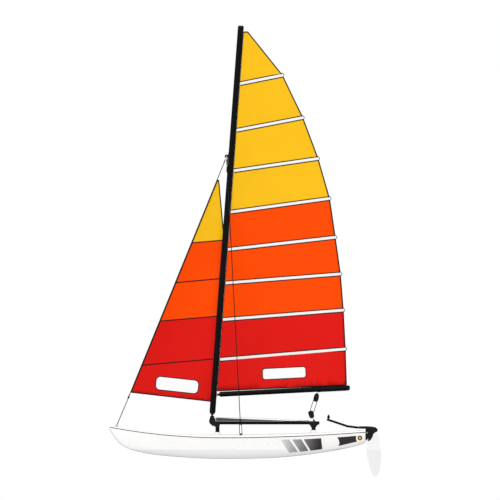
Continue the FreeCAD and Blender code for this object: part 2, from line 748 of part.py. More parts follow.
def batten(luff, leech, camber):
    """Batten in its pocket, following the sail's belly and standing past the leech."""
    along = (leech - luff).normalize()
    start = luff + along * BATTEN_START
    end = leech + along * BATTEN_OVERHANG
    up = V(0, 1, 0).cross(along).normalize() * (BATTEN_WIDTH / 2)
    if up.z < 0:
        up = up * -1
    depth = camber * (end - start).Length
    half = BATTEN_THICK / 2
    port = bellied_edge(start - up, end - up, depth, half)
    starboard = bellied_edge(start - up, end - up, depth, -half)
    return Part.Face(thin_outline(port, starboard)).extrude(up * 2)


def mainsail_battens():
    return Part.makeCompound([batten(*row) for row in main_edges()[1:-1]])


def forestay_point(height, behind=0.0):
    """Point on the forestay's line at a height, or behind it."""
    low, high = at(*BRIDLE_JOIN), forestay_top()
    share = (height - DRAFT - low.z) / (high.z - low.z)
    return low + (high - low) * share + V(-behind, 0, 0)


def jib():
    sections = []
    for luff_h, x, height, offset, camber in JIB_SECTIONS:
        luff = forestay_point(luff_h, JIB_LUFF_GAP)
        sections.append(sail_section(luff, at(x, height, -offset), camber))
    return Part.makeLoft(sections, True, True)


# Rudders, built on the port hull's centre plane

def gudgeons():
    """Two brackets on the transom and the pin that hangs the rudder on them."""
    parts = [rod(at(PINTLE_X, 352, HULL_Y), at(PINTLE_X, 632, HULL_Y), PINTLE_R)]
    for h in GUDGEON_H:
        parts.append(block(TRANSOM_X, PINTLE_X, HULL_Y - 12, HULL_Y + 12, h, h + 12))
        parts.append(rod(at(PINTLE_X, h, HULL_Y), at(PINTLE_X, h + 12, HULL_Y), 12))
    parts.append(block(TRANSOM_X - 5, TRANSOM_X, HULL_Y - 30, HULL_Y + 30, 350, 540))
    return fused(parts)


def plate_xh(points, y0, y1):
    """Flat plate with an outline in x and height, between two y beside the port hull's middle."""
    face = Part.Face(polygon([at(x, h, HULL_Y + y0) for x, h in points]))
    return face.extrude(V(0, y1 - y0, 0))


def kick_pin(half_length, radius):
    """Bar along the axis that the port blade kicks up on."""
    x, height = KICK_PIVOT
    return rod(at(x, height, HULL_Y - half_length), at(x, height, HULL_Y + half_length), radius)


def rudder_head():
    """Upper casting: a post that turns on the pin, cheeks back to the kick-up pivot, and the
    horn that carries the tiller arm over the deck."""
    posts = [rod(at(PINTLE_X, low, HULL_Y), at(PINTLE_X, high, HULL_Y), 15)
             for low, high in ((377, 497), (515, 622))]
    cheek_line = [(-2928, 378), (-2952, 378), (-2996, 470), (-3046, 514), (-3110, 514), (-3142, 530),
                  (-3155, 559), (-3146, 590), (-3112, 616), (-3050, 630), (-2928, 638)]
    cheeks = [plate_xh(cheek_line, 17.5, 24), plate_xh(cheek_line, -24, -17.5)]
    webs = [plate_xh([(-2928, 378), (-2955, 378), (-2955, 497), (-2928, 497)], -24, 24),
            plate_xh([(-2914, 378), (-2940, 378), (-2940, 497), (-2914, 497)], -8, 8),
            plate_xh([(-2914, 515), (-2940, 515), (-2940, 600), (-2914, 600)], -8, 8),
            plate_xh([(-2928, 515), (-2955, 515), (-2955, 600), (-3040, 606), (-3040, 626),
                      (-2928, 636)], -24, 24)]
    horn = plate_xh([(-2779, 590), (-2890, 586), (-2940, 590), (-2940, 637), (-2779, 636)], -22, 22)
    pivot = kick_pin(27, KICK_PIN_R)
    bore = rod(at(PINTLE_X, 340, HULL_Y), at(PINTLE_X, 700, HULL_Y), PINTLE_R + PIN_FIT)
    gaps = [rod(at(PINTLE_X, low, HULL_Y), at(PINTLE_X, high, HULL_Y), 17)
            for low, high in ((340, 376.5), (498, 514.5))]
    slot = block(-2957, -2900, HULL_Y - 40, HULL_Y + 40, 497, 515)
    body = fused(posts + cheeks + webs + [horn]).cut(bore)
    for gap in gaps + [slot]:
        body = body.cut(gap)
    return fused([body, pivot])


def tiller_arm():
    """Cranked tube from the rudder head forward and up to the tiller crossbar."""
    root, bend, tip = (at(x, h, HULL_Y) for x, h in (TILLER_ROOT, TILLER_BEND, TILLER_TIP))
    pin_foot = at(CROSSBAR[0], TILLER_TIP[1] - 1, HULL_Y)
    pin = rod(pin_foot, at(CROSSBAR[0], CROSSBAR[1] + 6, HULL_Y), TILLER_PIN_R)
    collar = rod(pin_foot, at(CROSSBAR[0], CROSSBAR[1] - CROSSBAR_R - 1, HULL_Y), 13)
    return fused([rod(root, bend, TILLER_R), Part.makeSphere(TILLER_R, bend), rod(bend, tip, TILLER_R),
                  pin, collar])


def foil(height, front, back, thick):
    """Closed symmetric foil section of the blade."""
    chord = front - back
    shape = [(0.0, 0.0), (0.04, 0.42), (0.16, 0.84), (0.34, 1.0), (0.62, 0.78), (0.86, 0.38), (1.0, 0.10)]
    port = [at(front - chord * t, height, HULL_Y + thick / 2 * w) for t, w in shape]
    starboard = [at(front - chord * t, height, HULL_Y - thick / 2 * w) for t, w in shape]
    return Part.Wire([spline(port), line(port[-1], starboard[-1]), spline(starboard[::-1])])


def rudder_blade():
    return Part.makeLoft([foil(*row) for row in BLADE_SECTIONS], True, False)


def rudder_casting():
    """Lower casting: two cheeks about the blade's head, which turn up on the kick-up pivot."""
    outline = [(-2963, 346), (-2990, 352), (-3020, 378), (-3048, 420), (-3066, 480), (-3096, 512),
               (-3128, 524), (-3143, 559), (-3128, 588), (-3080, 592), (-2972, 580), (-2963, 560)]
    body = plate_xh(outline, -14, 14)
    room = plate_xh([(-2900, 300), (-3250, 300), (-3250, 506), (-2940, 506)], -10.4, 10.4)
    return body.cut(room).cut(kick_pin(30, KICK_PIN_R + PIN_FIT))


def tiller_crossbar():
    """Tube that joins the two tiller arms, with a hole over each arm's pin."""
    x, height = CROSSBAR
    half = HULL_Y + 34
    bar = rod(at(x, height, -half), at(x, height, half), CROSSBAR_R)
    caps = [rod(at(x, height, side * (half - 5)), at(x, height, side * (half + 24)), CROSSBAR_CAP_R)
            for side in (-1, 1)]
    for side, radius in ((1, TILLER_PIN_R + PIN_FIT), (-1, TILLER_PIN_R + OPEN_PIN_FIT)):
        bar = bar.cut(rod(at(x, height - 30, side * HULL_Y), at(x, height + 30, side * HULL_Y), radius))
    stem = rod(at(x, height + 15), at(x, EXTENSION_H - GRIP_R - 1), 7)
    return fused([bar, stem] + caps)


def tiller_extension():
    """Hand stick that turns on the crossbar's middle, laid along the crossbar to starboard."""
    x, height = CROSSBAR[0], EXTENSION_H
    hub = rod(at(x, height - GRIP_R), at(x, height + GRIP_R), 16)
    stick = rod(at(x, height, 0), at(x, height, -EXTENSION_LENGTH), EXTENSION_R)
    grip = rod(at(x, height, GRIP_LENGTH - EXTENSION_LENGTH), at(x, height, -EXTENSION_LENGTH - 8), GRIP_R)
    return fused([hub, stick, grip])


def both_sides(name, shape, nodes):
    nodes[name + "_port"] = shape
    nodes[name + "_starboard"] = mirrored(shape)


def build():
    nodes = {}
    both_sides("hull", hull(), nodes)
    both_sides("deck", deck(), nodes)
    both_sides("front_pylon", pylon(FRONT_PYLON_X, FRONT_NECK[0][1]), nodes)
    both_sides("rear_pylon", pylon(REAR_PYLON_X, REAR_NECK[0][1]), nodes)
    both_sides("front_corner_casting", front_casting(), nodes)
    both_sides("rear_corner_casting", rear_casting(), nodes)
    both_sides("side_rail", side_rail(), nodes)
    both_sides("shroud", shroud(), nodes)
    both_sides("shroud_adjuster", shroud_adjuster(), nodes)
    both_sides("bow_tang", bow_tang(), nodes)
    both_sides("bridle_wire", bridle_wire(), nodes)
    both_sides("rudder_gudgeons", gudgeons(), nodes)
    both_sides("rudder_head", rudder_head(), nodes)
    both_sides("tiller_arm", tiller_arm(), nodes)
    both_sides("rudder_blade", rudder_blade(), nodes)
    both_sides("rudder_casting", rudder_casting(), nodes)
    nodes["front_crossbar"] = front_crossbar()
    nodes["rear_crossbar"] = rear_crossbar()
    nodes["dolphin_striker"] = dolphin_striker()
    nodes["trampoline"] = trampoline()
    nodes["traveller_track"] = traveller_track()
    nodes["traveller_car"] = traveller_car()
    nodes["hound_shackle"] = hound_shackle()
    nodes["forestay"] = forestay()
    nodes["mast_step"] = mast_step()
    nodes["mast_base"] = mast_base()
    nodes["mast"] = mast()
    nodes["masthead"] = masthead()
    nodes["mast_tang"] = mast_tang()
    nodes["gooseneck"] = gooseneck()
    nodes["boom"] = boom()
    nodes["boom_front_fitting"] = boom_front_fitting()
    nodes["boom_end_cap"] = boom_end_cap()
    nodes["mainsheet_upper_block"] = mainsheet_upper_block()
    nodes["mainsheet_lower_block"] = mainsheet_lower_block()
    nodes["mainsail"] = mainsail()
    nodes["mainsail_battens"] = mainsail_battens()
    nodes["jib"] = jib()
    nodes["tiller_crossbar"] = tiller_crossbar()
    nodes["tiller_extension"] = tiller_extension()
    return nodes


os.makedirs("parts", exist_ok=True)
for name, shape in build().items():
    solids = shape.Solids
    print(f"{name:26s} solids {len(solids)} valid {shape.isValid()} litres {shape.Volume / 1e6:10.3f}")
    Part.makeCompound(solids).exportStep(f"parts/{name}.step")
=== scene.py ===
"""Looks of the beach catamaran: sails, trampoline, running rigging, deck fittings, hull stripes and
finishes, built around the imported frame. Metres; +X to the bows, +Y to port, +Z up, waterline at z = 0."""
import json
import math

import bmesh
import bpy
from mathutils import Matrix, Vector
from mathutils.bvhtree import BVHTree


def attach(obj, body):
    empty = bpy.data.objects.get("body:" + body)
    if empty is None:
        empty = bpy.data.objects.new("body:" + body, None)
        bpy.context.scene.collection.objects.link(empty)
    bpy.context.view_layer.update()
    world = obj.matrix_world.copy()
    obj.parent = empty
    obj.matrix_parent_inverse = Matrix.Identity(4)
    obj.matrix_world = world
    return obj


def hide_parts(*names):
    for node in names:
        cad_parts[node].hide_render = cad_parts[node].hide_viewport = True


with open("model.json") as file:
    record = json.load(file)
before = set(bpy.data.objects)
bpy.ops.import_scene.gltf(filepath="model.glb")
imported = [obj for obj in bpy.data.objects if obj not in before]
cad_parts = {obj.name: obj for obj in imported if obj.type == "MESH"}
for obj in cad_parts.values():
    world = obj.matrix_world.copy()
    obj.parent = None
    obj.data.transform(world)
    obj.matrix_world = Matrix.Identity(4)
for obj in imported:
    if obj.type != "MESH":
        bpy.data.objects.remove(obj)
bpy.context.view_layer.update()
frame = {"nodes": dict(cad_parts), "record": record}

bl_info = {
    "name": "Beach catamaran looks",
    "version": (1, 0, 0),
    "blender": (4, 5, 0),
    "location": "View3D > Sidebar > Catamaran",
    "description": "Sails, trampoline, rigging, hull stripes and finishes of a beach catamaran",
    "category": "Object",
}

DRAFT = 0.176                       # keel's lowest point below the waterline
SIDES = {"port": 1, "starboard": -1}

# Places shared with the construction: x, and height above the keel's lowest point
MAST_FOOT = (0.104, 0.886)
MAST_TOP = (-0.459, 8.523)
MAST_FORE, MAST_AFT, MAST_HALF = 0.056, 0.062, 0.034
BOOM_FRONT, BOOM_BACK = (-0.026, 1.264), (-2.608, 1.395)
BOOM_DEPTH = 0.050
REAR_BAR_X = -1.899
HOUND = (-0.179, 5.949)
STAY_LOW, STAY_HIGH = (1.749, 1.212), (-0.157, 5.889)
HULL_Y = 1.065
RAIL_TOP = 0.7345
SAIL_THICK = 0.004

# Mainsail rows, head to foot: height of the luff, leech x and height, share of camber
MAIN_ROWS = [
    (8.398, -0.592, 8.398, 0.02), (7.383, -1.275, 7.545, 0.045), (6.466, -1.676, 6.710, 0.055),
    (5.669, -1.977, 5.906, 0.062), (4.857, -2.203, 5.120, 0.067), (4.121, -2.315, 4.355, 0.070),
    (3.460, -2.416, 3.634, 0.070), (2.741, -2.473, 2.922, 0.066), (1.956, -2.512, 2.156, 0.055),
    (1.338, -2.536, 1.450, 0.0),
]
MAIN_COLOURS = ["yellow"] * 4 + ["orange"] * 3 + ["red"] * 2
LUFF_GAP = 0.005
POCKET_WIDTH = 0.052
POCKET_BORDER = 0.020
POCKET_PAST_LEECH = 0.026
EDGE_TAPE = 0.023
TAPE_THICK = 0.009
SEAM = 0.021
WINDOW_TAPE = 0.018                 # width of the tape round a window

# Jib rows, head to foot: height of the luff, leech x and height, offset to starboard, share of camber
JIB_ROWS = [
    (5.493, -0.022, 5.482, 0.006, 0.02), (4.247, -0.130, 4.300, 0.076, 0.045),
    (3.462, -0.086, 3.545, 0.066, 0.055), (2.706, -0.038, 2.806, 0.070, 0.058),
    (1.838, 0.024, 1.966, 0.076, 0.052), (1.306, 0.084, 1.122, 0.080, 0.035),
]
JIB_COLOURS = ["yellow", "orange", "orange", "red", "red"]
JIB_LUFF_GAP = 0.010
SAIL_FINISHES = ["sail_yellow", "sail_orange", "sail_red", "trim_line", "window_film"]

TRAMPOLINE_TOP = [(0.050, 0.806), (-1.460, 0.745), (-1.843, 0.745)]
TRAMPOLINE_HALF = 1.048
CLOTH_THICK = 0.004
VINYL_LIFT = 0.0012
STRIPE_DOT_PITCH = 0.020
STRIPE_DOT_SQUARE = 0.07            # square of a dot's radius, as a share of the pitch
STRIPE_FADE = (-2.02, -1.20)         # x where the hull stripes are darkest and palest


PORT, UP = Vector((0, 1, 0)), Vector((0, 0, 1))


def at(x, height, y=0.0):
    """Point at a height above the keel's lowest point."""
    return Vector((x, y, height - DRAFT))


def blend_between(low, high, share):
    return low + (high - low) * share


# Shader helpers

class Graph:
    """Small wrapper for building a node tree."""

    def __init__(self, tree):
        self.tree = tree

    def node(self, kind, inputs=None, **settings):
        made = self.tree.nodes.new(kind)
        for key, value in settings.items():
            setattr(made, key, value)
        self.fill(made, inputs or {})
        return made

    def fill(self, node, inputs):
        for key, value in inputs.items():
            self.feed(node.inputs[key], value)

    def feed(self, socket, value):
        if isinstance(value, bpy.types.NodeSocket):
            self.tree.links.new(value, socket)
        else:
            socket.default_value = value

    def maths(self, operation, a, b=0.0):
        return self.node("ShaderNodeMath", {0: a, 1: b}, operation=operation).outputs[0]

    def mix(self, share, a, b):
        made = self.node("ShaderNodeMix", data_type="RGBA")
        self.fill(made, {0: share, 6: a, 7: b})
        return made.outputs[2]

    def noise(self, vector, scale, detail=3.0):
        values = {"Vector": vector, "Scale": scale, "Detail": detail}
        return self.node("ShaderNodeTexNoise", values).outputs[0]

    def remap(self, value, low, high, to_low, to_high):
        ends = {0: value, 1: low, 2: high, 3: to_low, 4: to_high}
        return self.node("ShaderNodeMapRange", ends).outputs[0]


def new_group(name, inputs, outputs):
    """Node group with typed sockets; returns its graph, inputs and outputs."""
    tree = bpy.data.node_groups.new(name, "ShaderNodeTree")
    for label, kind, value in inputs:
        socket = tree.interface.new_socket(label, in_out="INPUT", socket_type=kind)
        if value is not None:
            socket.default_value = value
    for label, kind in outputs:
        tree.interface.new_socket(label, in_out="OUTPUT", socket_type=kind)
    graph = Graph(tree)
    return graph, graph.node("NodeGroupInput").outputs, graph.node("NodeGroupOutput").inputs


FLOAT, COLOUR, VECTOR = "NodeSocketFloat", "NodeSocketColor", "NodeSocketVector"
WHITE = (1, 1, 1, 1)


def weave_group():
    """Over-and-under threads from a vector in metres: a height and a slight shade."""
    graph, given, out = new_group(
        "weave",
        [("Vector", VECTOR, None), ("Colour", COLOUR, WHITE), ("Threads", FLOAT, 900.0),
         ("Shade", FLOAT, 0.06)],
        [("Colour", COLOUR), ("Height", FLOAT)])
    parts = graph.node("ShaderNodeSeparateXYZ", {0: given["Vector"]}).outputs
    waves = [graph.maths("SINE", graph.maths("MULTIPLY", parts[axis], given["Threads"])) for axis in (0, 2)]
    height = graph.maths("MULTIPLY_ADD", graph.maths("MULTIPLY", waves[0], waves[1]), 0.5)
    height.node.inputs[2].default_value = 0.5
    broad = graph.noise(given["Vector"], 2.2, 4.0)
    shade = graph.maths("MULTIPLY", graph.remap(broad, 0.3, 0.7, 0.0, 1.0), given["Shade"])
    darker = graph.node("ShaderNodeHueSaturation", {
        "Color": given["Colour"], "Value": graph.maths("SUBTRACT", 1.0, shade)}).outputs[0]
    graph.feed(out["Colour"], darker)
    graph.feed(out["Height"], height)
    return graph.tree


def wear_group():
    """Handling marks: a colour with faint clouds and a roughness that varies around a middle."""
    graph, given, out = new_group(
        "handling_marks",
        [("Vector", VECTOR, None), ("Colour", COLOUR, WHITE), ("Roughness", FLOAT, 0.4),
         ("Amount", FLOAT, 0.1), ("Scale", FLOAT, 6.0)],
        [("Colour", COLOUR), ("Roughness", FLOAT), ("Height", FLOAT)])
    broad = graph.noise(given["Vector"], given["Scale"], 5.0)
    fine = graph.noise(given["Vector"], graph.maths("MULTIPLY", given["Scale"], 22.0), 3.0)
    cloud = graph.remap(broad, 0.32, 0.68, -1.0, 1.0)
    rough = graph.maths("ADD", given["Roughness"], graph.maths("MULTIPLY", cloud, given["Amount"]))
    grain = graph.maths("MULTIPLY", graph.remap(fine, 0.35, 0.65, 0, 1), given["Amount"])
    value = graph.maths("SUBTRACT", 1.0, grain)
    tinted = graph.node("ShaderNodeHueSaturation", {"Color": given["Colour"], "Value": value}).outputs[0]
    graph.feed(out["Colour"], tinted)
    graph.feed(out["Roughness"], rough)
    graph.feed(out["Height"], fine)
    return graph.tree


GROUPS = {}
MATERIALS = {}


def group_in(graph, key, inputs):
    if key not in GROUPS:
        GROUPS[key] = {"weave": weave_group, "wear": wear_group}[key]()
    return graph.node("ShaderNodeGroup", inputs, node_tree=GROUPS[key]).outputs


def start_material(name):
    """Starts a material: returns its graph, its principled shader and the object's own coordinates."""
    made = bpy.data.materials.new(name)
    made.use_nodes = True
    graph = Graph(made.node_tree)
    shader = made.node_tree.nodes["Principled BSDF"]
    place = graph.node("ShaderNodeTexCoord").outputs["Object"]
    MATERIALS[name] = made
    return graph, shader, place


def plain_finish(name, colour, roughness, metallic=0.0, marks=0.08, scale=20.0, bump=0.0001, coat=0.0,
                 shine=0.5):
    """Smooth finish with faint clouds, fine grain and handling marks."""
    graph, shader, place = start_material(name)
    worn = group_in(graph, "wear", {
        "Vector": place, "Colour": (*colour, 1), "Roughness": roughness, "Amount": marks, "Scale": scale})
    relief = graph.node("ShaderNodeBump", {"Height": worn["Height"], "Distance": bump, "Strength": 0.5})
    graph.fill(shader, {
        "Base Color": worn["Colour"], "Roughness": worn["Roughness"], "Metallic": metallic,
        "Coat Weight": coat, "Specular IOR Level": shine, "Normal": relief.outputs[0]})


def cloth_finish(name, colour, threads=900.0, shade=0.04, roughness=0.6, crease=0.0012):
    """Woven cloth with broad soft creases."""
    graph, shader, place = start_material(name)
    woven = group_in(graph, "weave", {
        "Vector": place, "Colour": (*colour, 1), "Threads": threads, "Shade": shade})
    fine = graph.node("ShaderNodeBump", {"Height": woven["Height"], "Distance": 0.0002, "Strength": 0.4})
    folds = graph.node("ShaderNodeBump", {
        "Height": graph.noise(place, 3.5, 2.0), "Distance": crease, "Strength": 0.6,
        "Normal": fine.outputs[0]})
    graph.fill(shader, {
        "Base Color": woven["Colour"], "Roughness": roughness, "Specular IOR Level": 0.05,
        "Normal": folds.outputs[0]})


def film_finish():
    graph, shader, place = start_material("window_film")
    crinkle = graph.node("ShaderNodeBump", {"Height": graph.noise(place, 9.0, 2.0), "Distance": 0.002})
    graph.fill(shader, {
        "Base Color": (0.96, 0.97, 0.975, 1), "Roughness": 0.12, "Specular IOR Level": 0.3,
        "Alpha": 0.30, "Normal": crinkle.outputs[0]})


def fading_finish(name):
    """Vinyl that darkens towards the stern, with a fine lattice of dots."""
    graph, shader, place = start_material(name)
    parts = graph.node("ShaderNodeSeparateXYZ", {0: place}).outputs
    squares = []
    for axis in (0, 2):
        cells = graph.maths("FRACT", graph.maths("DIVIDE", parts[axis], STRIPE_DOT_PITCH))
        away = graph.maths("SUBTRACT", cells, 0.5)
        squares.append(graph.maths("MULTIPLY", away, away))
    away = graph.maths("ADD", squares[0], squares[1])
    dot = graph.maths("LESS_THAN", away, STRIPE_DOT_SQUARE)
    tone = graph.remap(parts[0], *STRIPE_FADE, 0.0, 1.0)
    ground = graph.mix(graph.maths("POWER", tone, 1.6), (0.012, 0.010, 0.011, 1), (0.80, 0.80, 0.81, 1))
    dots = graph.mix(tone, (0.065, 0.062, 0.065, 1), (0.50, 0.50, 0.51, 1))
    graph.fill(shader, {
        "Base Color": graph.mix(dot, ground, dots), "Roughness": 0.35, "Specular IOR Level": 0.2})


def build_materials(colours):
    """Every finish, with the three sailcloths in the colours given."""
    plain_finish("gelcoat_white", (0.90, 0.905, 0.90), 0.20, marks=0.025, scale=2.0, coat=0.3)
    plain_finish("deck_white", (0.92, 0.925, 0.92), 0.38, marks=0.03, scale=9.0, bump=0.0006)
    plain_finish("blade_white", (0.86, 0.86, 0.855), 0.24, marks=0.03, scale=3.0, coat=0.2)
    plain_finish("black_anodised", (0.003, 0.003, 0.0032), 0.42, marks=0.09, scale=4.0, shine=0.07)
    plain_finish("casting_grey", (0.012, 0.010, 0.011), 0.55, marks=0.12, scale=30.0,
                 bump=0.0012, shine=0.08)
    plain_finish("stainless", (0.56, 0.56, 0.57), 0.26, metallic=1.0, scale=25.0)
    plain_finish("wire_dark", (0.008, 0.007, 0.0075), 0.45, scale=60.0, bump=0.0003, shine=0.08)
    plain_finish("track_grey", (0.03, 0.03, 0.032), 0.4, marks=0.1, shine=0.3)
    plain_finish("block_black", (0.012, 0.010, 0.011), 0.45, marks=0.1, scale=40.0,
                 bump=0.0005, shine=0.1)
    plain_finish("foam_grip", (0.008, 0.008, 0.008), 0.85, marks=0.1, scale=90.0, bump=0.0015, shine=0.2)
    plain_finish("trim_line", (0.010, 0.008, 0.009), 0.6, marks=0.06, bump=0.0002, shine=0.08)
    plain_finish("rub_strip", (0.17, 0.165, 0.17), 0.5, marks=0.06, bump=0.0002, shine=0.2)
    plain_finish("badge_yellow", (0.93, 0.50, 0.03), 0.3, marks=0.03)
    fading_finish("stripe_fade")
    for name, colour in colours.items():
        cloth_finish("sail_" + name, colour)
    cloth_finish("pocket_white", (0.87, 0.87, 0.86), threads=1600.0, shade=0.03)
    cloth_finish("mesh_grey", (0.085, 0.092, 0.097), threads=1500.0, shade=0.12, roughness=0.75,
                 crease=0.0006)
    cloth_finish("webbing_black", (0.02, 0.02, 0.022), threads=2400.0, shade=0.1)
    cloth_finish("rope_white", (0.80, 0.80, 0.78), threads=1800.0, shade=0.08, crease=0.0002)
    cloth_finish("rope_dark", (0.012, 0.011, 0.012), threads=1800.0, shade=0.08, crease=0.0002)
    film_finish()


# Mesh helpers

def new_object(name, data):
    made = bpy.data.objects.new(name, data)
    bpy.context.collection.objects.link(made)
    return made


def piece_from(bm, name, materials, body, smooth=True):
    """Turns a bmesh into a piece with its materials and body."""
    mesh = bpy.data.meshes.new(name)
    for face in bm.faces:
        face.smooth = smooth
    bm.to_mesh(mesh)
    bm.free()
    for key in materials:
        mesh.materials.append(MATERIALS[key])
    made = new_object(name, mesh)
    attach(made, body)
    return made


def paint(faces, material):
    for face in faces:
        face.material_index = material


def dress_solid(bm, verts, material, bevel, rims_only=False):
    """Gives a new solid its material, and bevels its edges or only its rims."""
    faces = {face for vert in verts for face in vert.link_faces}
    paint(faces, material)
    if not bevel:
        return
    edges = {edge for face in faces for edge in face.edges}
    if rims_only:
        edges = {edge for edge in edges if any(len(face.verts) > 4 for face in edge.link_faces)}
    bmesh.ops.bevel(
        bm, geom=list(edges), offset=bevel, affect="EDGES", segments=2, profile=0.5, material=-1)


def add_tube(bm, points, radius, sides=8, material=0):
    """Sweeps a round section along points and caps its ends."""
    circles = []
    side = None
    for index, point in enumerate(points):
        ahead = points[min(index + 1, len(points) - 1)] - points[max(index - 1, 0)]
        ahead.normalize()
        if side is None:
            side = Vector((0, 1, 0)) if abs(ahead.y) < 0.8 else Vector((1, 0, 0))
        side = (side - ahead * side.dot(ahead)).normalized()
        across = ahead.cross(side)
        basis = Matrix((side, across, ahead)).transposed().to_4x4()
        basis.translation = point
        ring = bmesh.ops.create_circle(bm, cap_ends=False, segments=sides, radius=radius, matrix=basis)
        circles.append(ring["verts"])
    made = []
    for low, high in zip(circles, circles[1:]):
        for index in range(sides):
            other = (index + 1) % sides
            made.append(bm.faces.new((low[index], low[other], high[other], high[index])))
    made.append(bm.faces.new(circles[0][::-1]))
    made.append(bm.faces.new(circles[-1]))
    paint(made, material)


def add_cylinder(bm, low, high, radius, sides=20, material=0, bevel=0.0):
    """Capped cylinder from low to high, with its rims bevelled."""
    along = high - low
    turn = along.to_track_quat("Z", "Y").to_matrix().to_4x4()
    place = Matrix.Translation((low + high) / 2) @ turn
    made = bmesh.ops.create_cone(
        bm, cap_ends=True, segments=sides, radius1=radius, radius2=radius, depth=along.length, matrix=place)
    dress_solid(bm, made["verts"], material, bevel, rims_only=True)


def add_disc(bm, centre, half, radius, **rest):
    """Cylinder across the boat, with its middle at centre."""
    reach = Vector((0, half, 0))
    add_cylinder(bm, centre - reach, centre + reach, radius, **rest)


def add_box(bm, centre, size, material=0, bevel=0.0):
    place = Matrix.Translation(centre) @ Matrix.Diagonal((*size, 1))
    made = bmesh.ops.create_cube(bm, size=1.0, matrix=place)
    dress_solid(bm, made["verts"], material, bevel)


# Sails

def mast_axis():
    return (at(*MAST_TOP) - at(*MAST_FOOT)).normalized()


def mast_at(height, fore=0.0, side=0.0):
    """Point on the mast where its middle line reaches a height, ahead of it and to port."""
    axis = mast_axis()
    along = (height - MAST_FOOT[1]) / axis.z
    return at(*MAST_FOOT) + axis * along + Vector((axis.z, 0, -axis.x)) * fore + Vector((0, side, 0))


def stay_at(height, behind=0.0):
    share = (height - STAY_LOW[1]) / (STAY_HIGH[1] - STAY_LOW[1])
    return blend_between(at(*STAY_LOW), at(*STAY_HIGH), share) - Vector((behind, 0, 0))


def sail_row(luff, leech, camber):
    """Luff point, leech point and depth of belly."""
    return luff, leech, camber * (leech - luff).length


def main_rows():
    return [sail_row(mast_at(luff, -(MAST_AFT + LUFF_GAP)), at(x, height), camber)
            for luff, x, height, camber in MAIN_ROWS]


def jib_rows():
    return [sail_row(stay_at(luff, JIB_LUFF_GAP), at(x, height, -offset), camber)
            for luff, x, height, offset, camber in JIB_ROWS]


def sail_point(rows, down, across):
    """Point of a sail: down counts rows from the head, across runs from luff to leech."""
    index = min(int(down), len(rows) - 2)
    share = down - index
    upper, lower = rows[index], rows[index + 1]
    luff = blend_between(upper[0], lower[0], share)
    leech = blend_between(upper[1], lower[1], share)
    depth = blend_between(upper[2], lower[2], share)
    belly = 4 * across * (1 - across) * depth
    return blend_between(luff, leech, across) + Vector((0, -belly, 0))


def rounded_window(centre, half_size, corner, turn=0.0, steps=5):
    """Outline of a rounded window in a flat sail pattern, anticlockwise."""
    points = []
    for index, (sx, sy) in enumerate(((1, 1), (-1, 1), (-1, -1), (1, -1))):
        middle = Vector((sx * (half_size[0] - corner), sy * (half_size[1] - corner)))
        for step in range(steps + 1):
            angle = math.pi / 2 * (index + step / steps)
            point = middle + Vector((math.cos(angle), math.sin(angle))) * corner
            points.append(Vector((point.x * math.cos(turn) - point.y * math.sin(turn) + centre[0],
                                  point.x * math.sin(turn) + point.y * math.cos(turn) + centre[1])))
    return points


def sail_window(centre, half_size, corner, turn):
    """Outlines of a window's tape and of the film within it."""
    film = tuple(size - WINDOW_TAPE for size in half_size)
    return {"tape": rounded_window(centre, half_size, corner, turn),
            "film": rounded_window(centre, film, corner - WINDOW_TAPE, turn)}


def cut_outline(bm, outline, faces):
    """Cuts a convex outline, given in x and z, into faces; returns the faces within it."""
    inner = list(faces)
    for start, end in zip(outline, outline[1:] + outline[:1]):
        normal = Vector((end.y - start.y, 0, start.x - end.x))
        spot = Vector((start.x, 0, start.y))
        geometry = inner + list({e for f in inner for e in f.edges} | {v for f in inner for v in f.verts})
        cut = bmesh.ops.bisect_plane(bm, geom=geometry, dist=1e-5, plane_co=spot, plane_no=normal)
        inner = [item for item in cut["geom"] if isinstance(item, bmesh.types.BMFace)]
        inner = [face for face in inner if (face.calc_center_median() - spot).dot(normal) < 0]
    return inner


def sail_mesh(rows, colours, columns, steps, window):
    """Sail surface with a panel colour for each row, and a window cut in with its tape."""
    bm = bmesh.new()
    total = (len(rows) - 1) * steps
    grid = [[bm.verts.new(sail_point(rows, i / steps, j / columns)) for j in range(columns + 1)]
            for i in range(total + 1)]
    uv = bm.loops.layers.uv.new("cloth")
    for i in range(total):
        for j in range(columns):
            face = bm.faces.new((grid[i][j], grid[i + 1][j], grid[i + 1][j + 1], grid[i][j + 1]))
            face.material_index = SAIL_FINISHES.index("sail_" + colours[i // steps])
            for loop in face.loops:
                loop[uv].uv = (loop.vert.co.x, loop.vert.co.z)
    tape = cut_outline(bm, window["tape"], bm.faces)
    paint(tape, SAIL_FINISHES.index("trim_line"))
    paint(cut_outline(bm, window["film"], tape), SAIL_FINISHES.index("window_film"))
    return bm


def thicken(piece, thickness):
    """Gives a sheet its thickness, half on each side."""
    cloth = piece.modifiers.new("cloth", "SOLIDIFY")
    cloth.thickness = thickness
    cloth.offset = 0.0


def sail_piece(bm, name, body, node):
    made = piece_from(bm, name, SAIL_FINISHES, body)
    thicken(made, SAIL_THICK)
    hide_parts(node)


def ribbon(bm, points, half_width, material=0, thick=0.003, facing=PORT):
    """Closed flat strip along points, facing along Y or another axis."""
    rings = []
    for index, point in enumerate(points):
        ahead = points[min(index + 1, len(points) - 1)] - points[max(index - 1, 0)]
        across = facing.cross(ahead).normalized()
        width = half_width(index) if callable(half_width) else half_width
        corners = [point + across * width, point - across * width]
        rings.append([bm.verts.new(c + facing * t) for t in (-thick / 2, thick / 2) for c in corners])
    made = []
    for a, b in zip(rings, rings[1:]):
        for i, j in ((0, 1), (1, 3), (3, 2), (2, 0)):
            made.append(bm.faces.new((a[i], a[j], b[j], b[i])))
    for ring in (rings[0], rings[-1]):
        made.append(bm.faces.new((ring[0], ring[1], ring[3], ring[2])))
    paint(made, material)


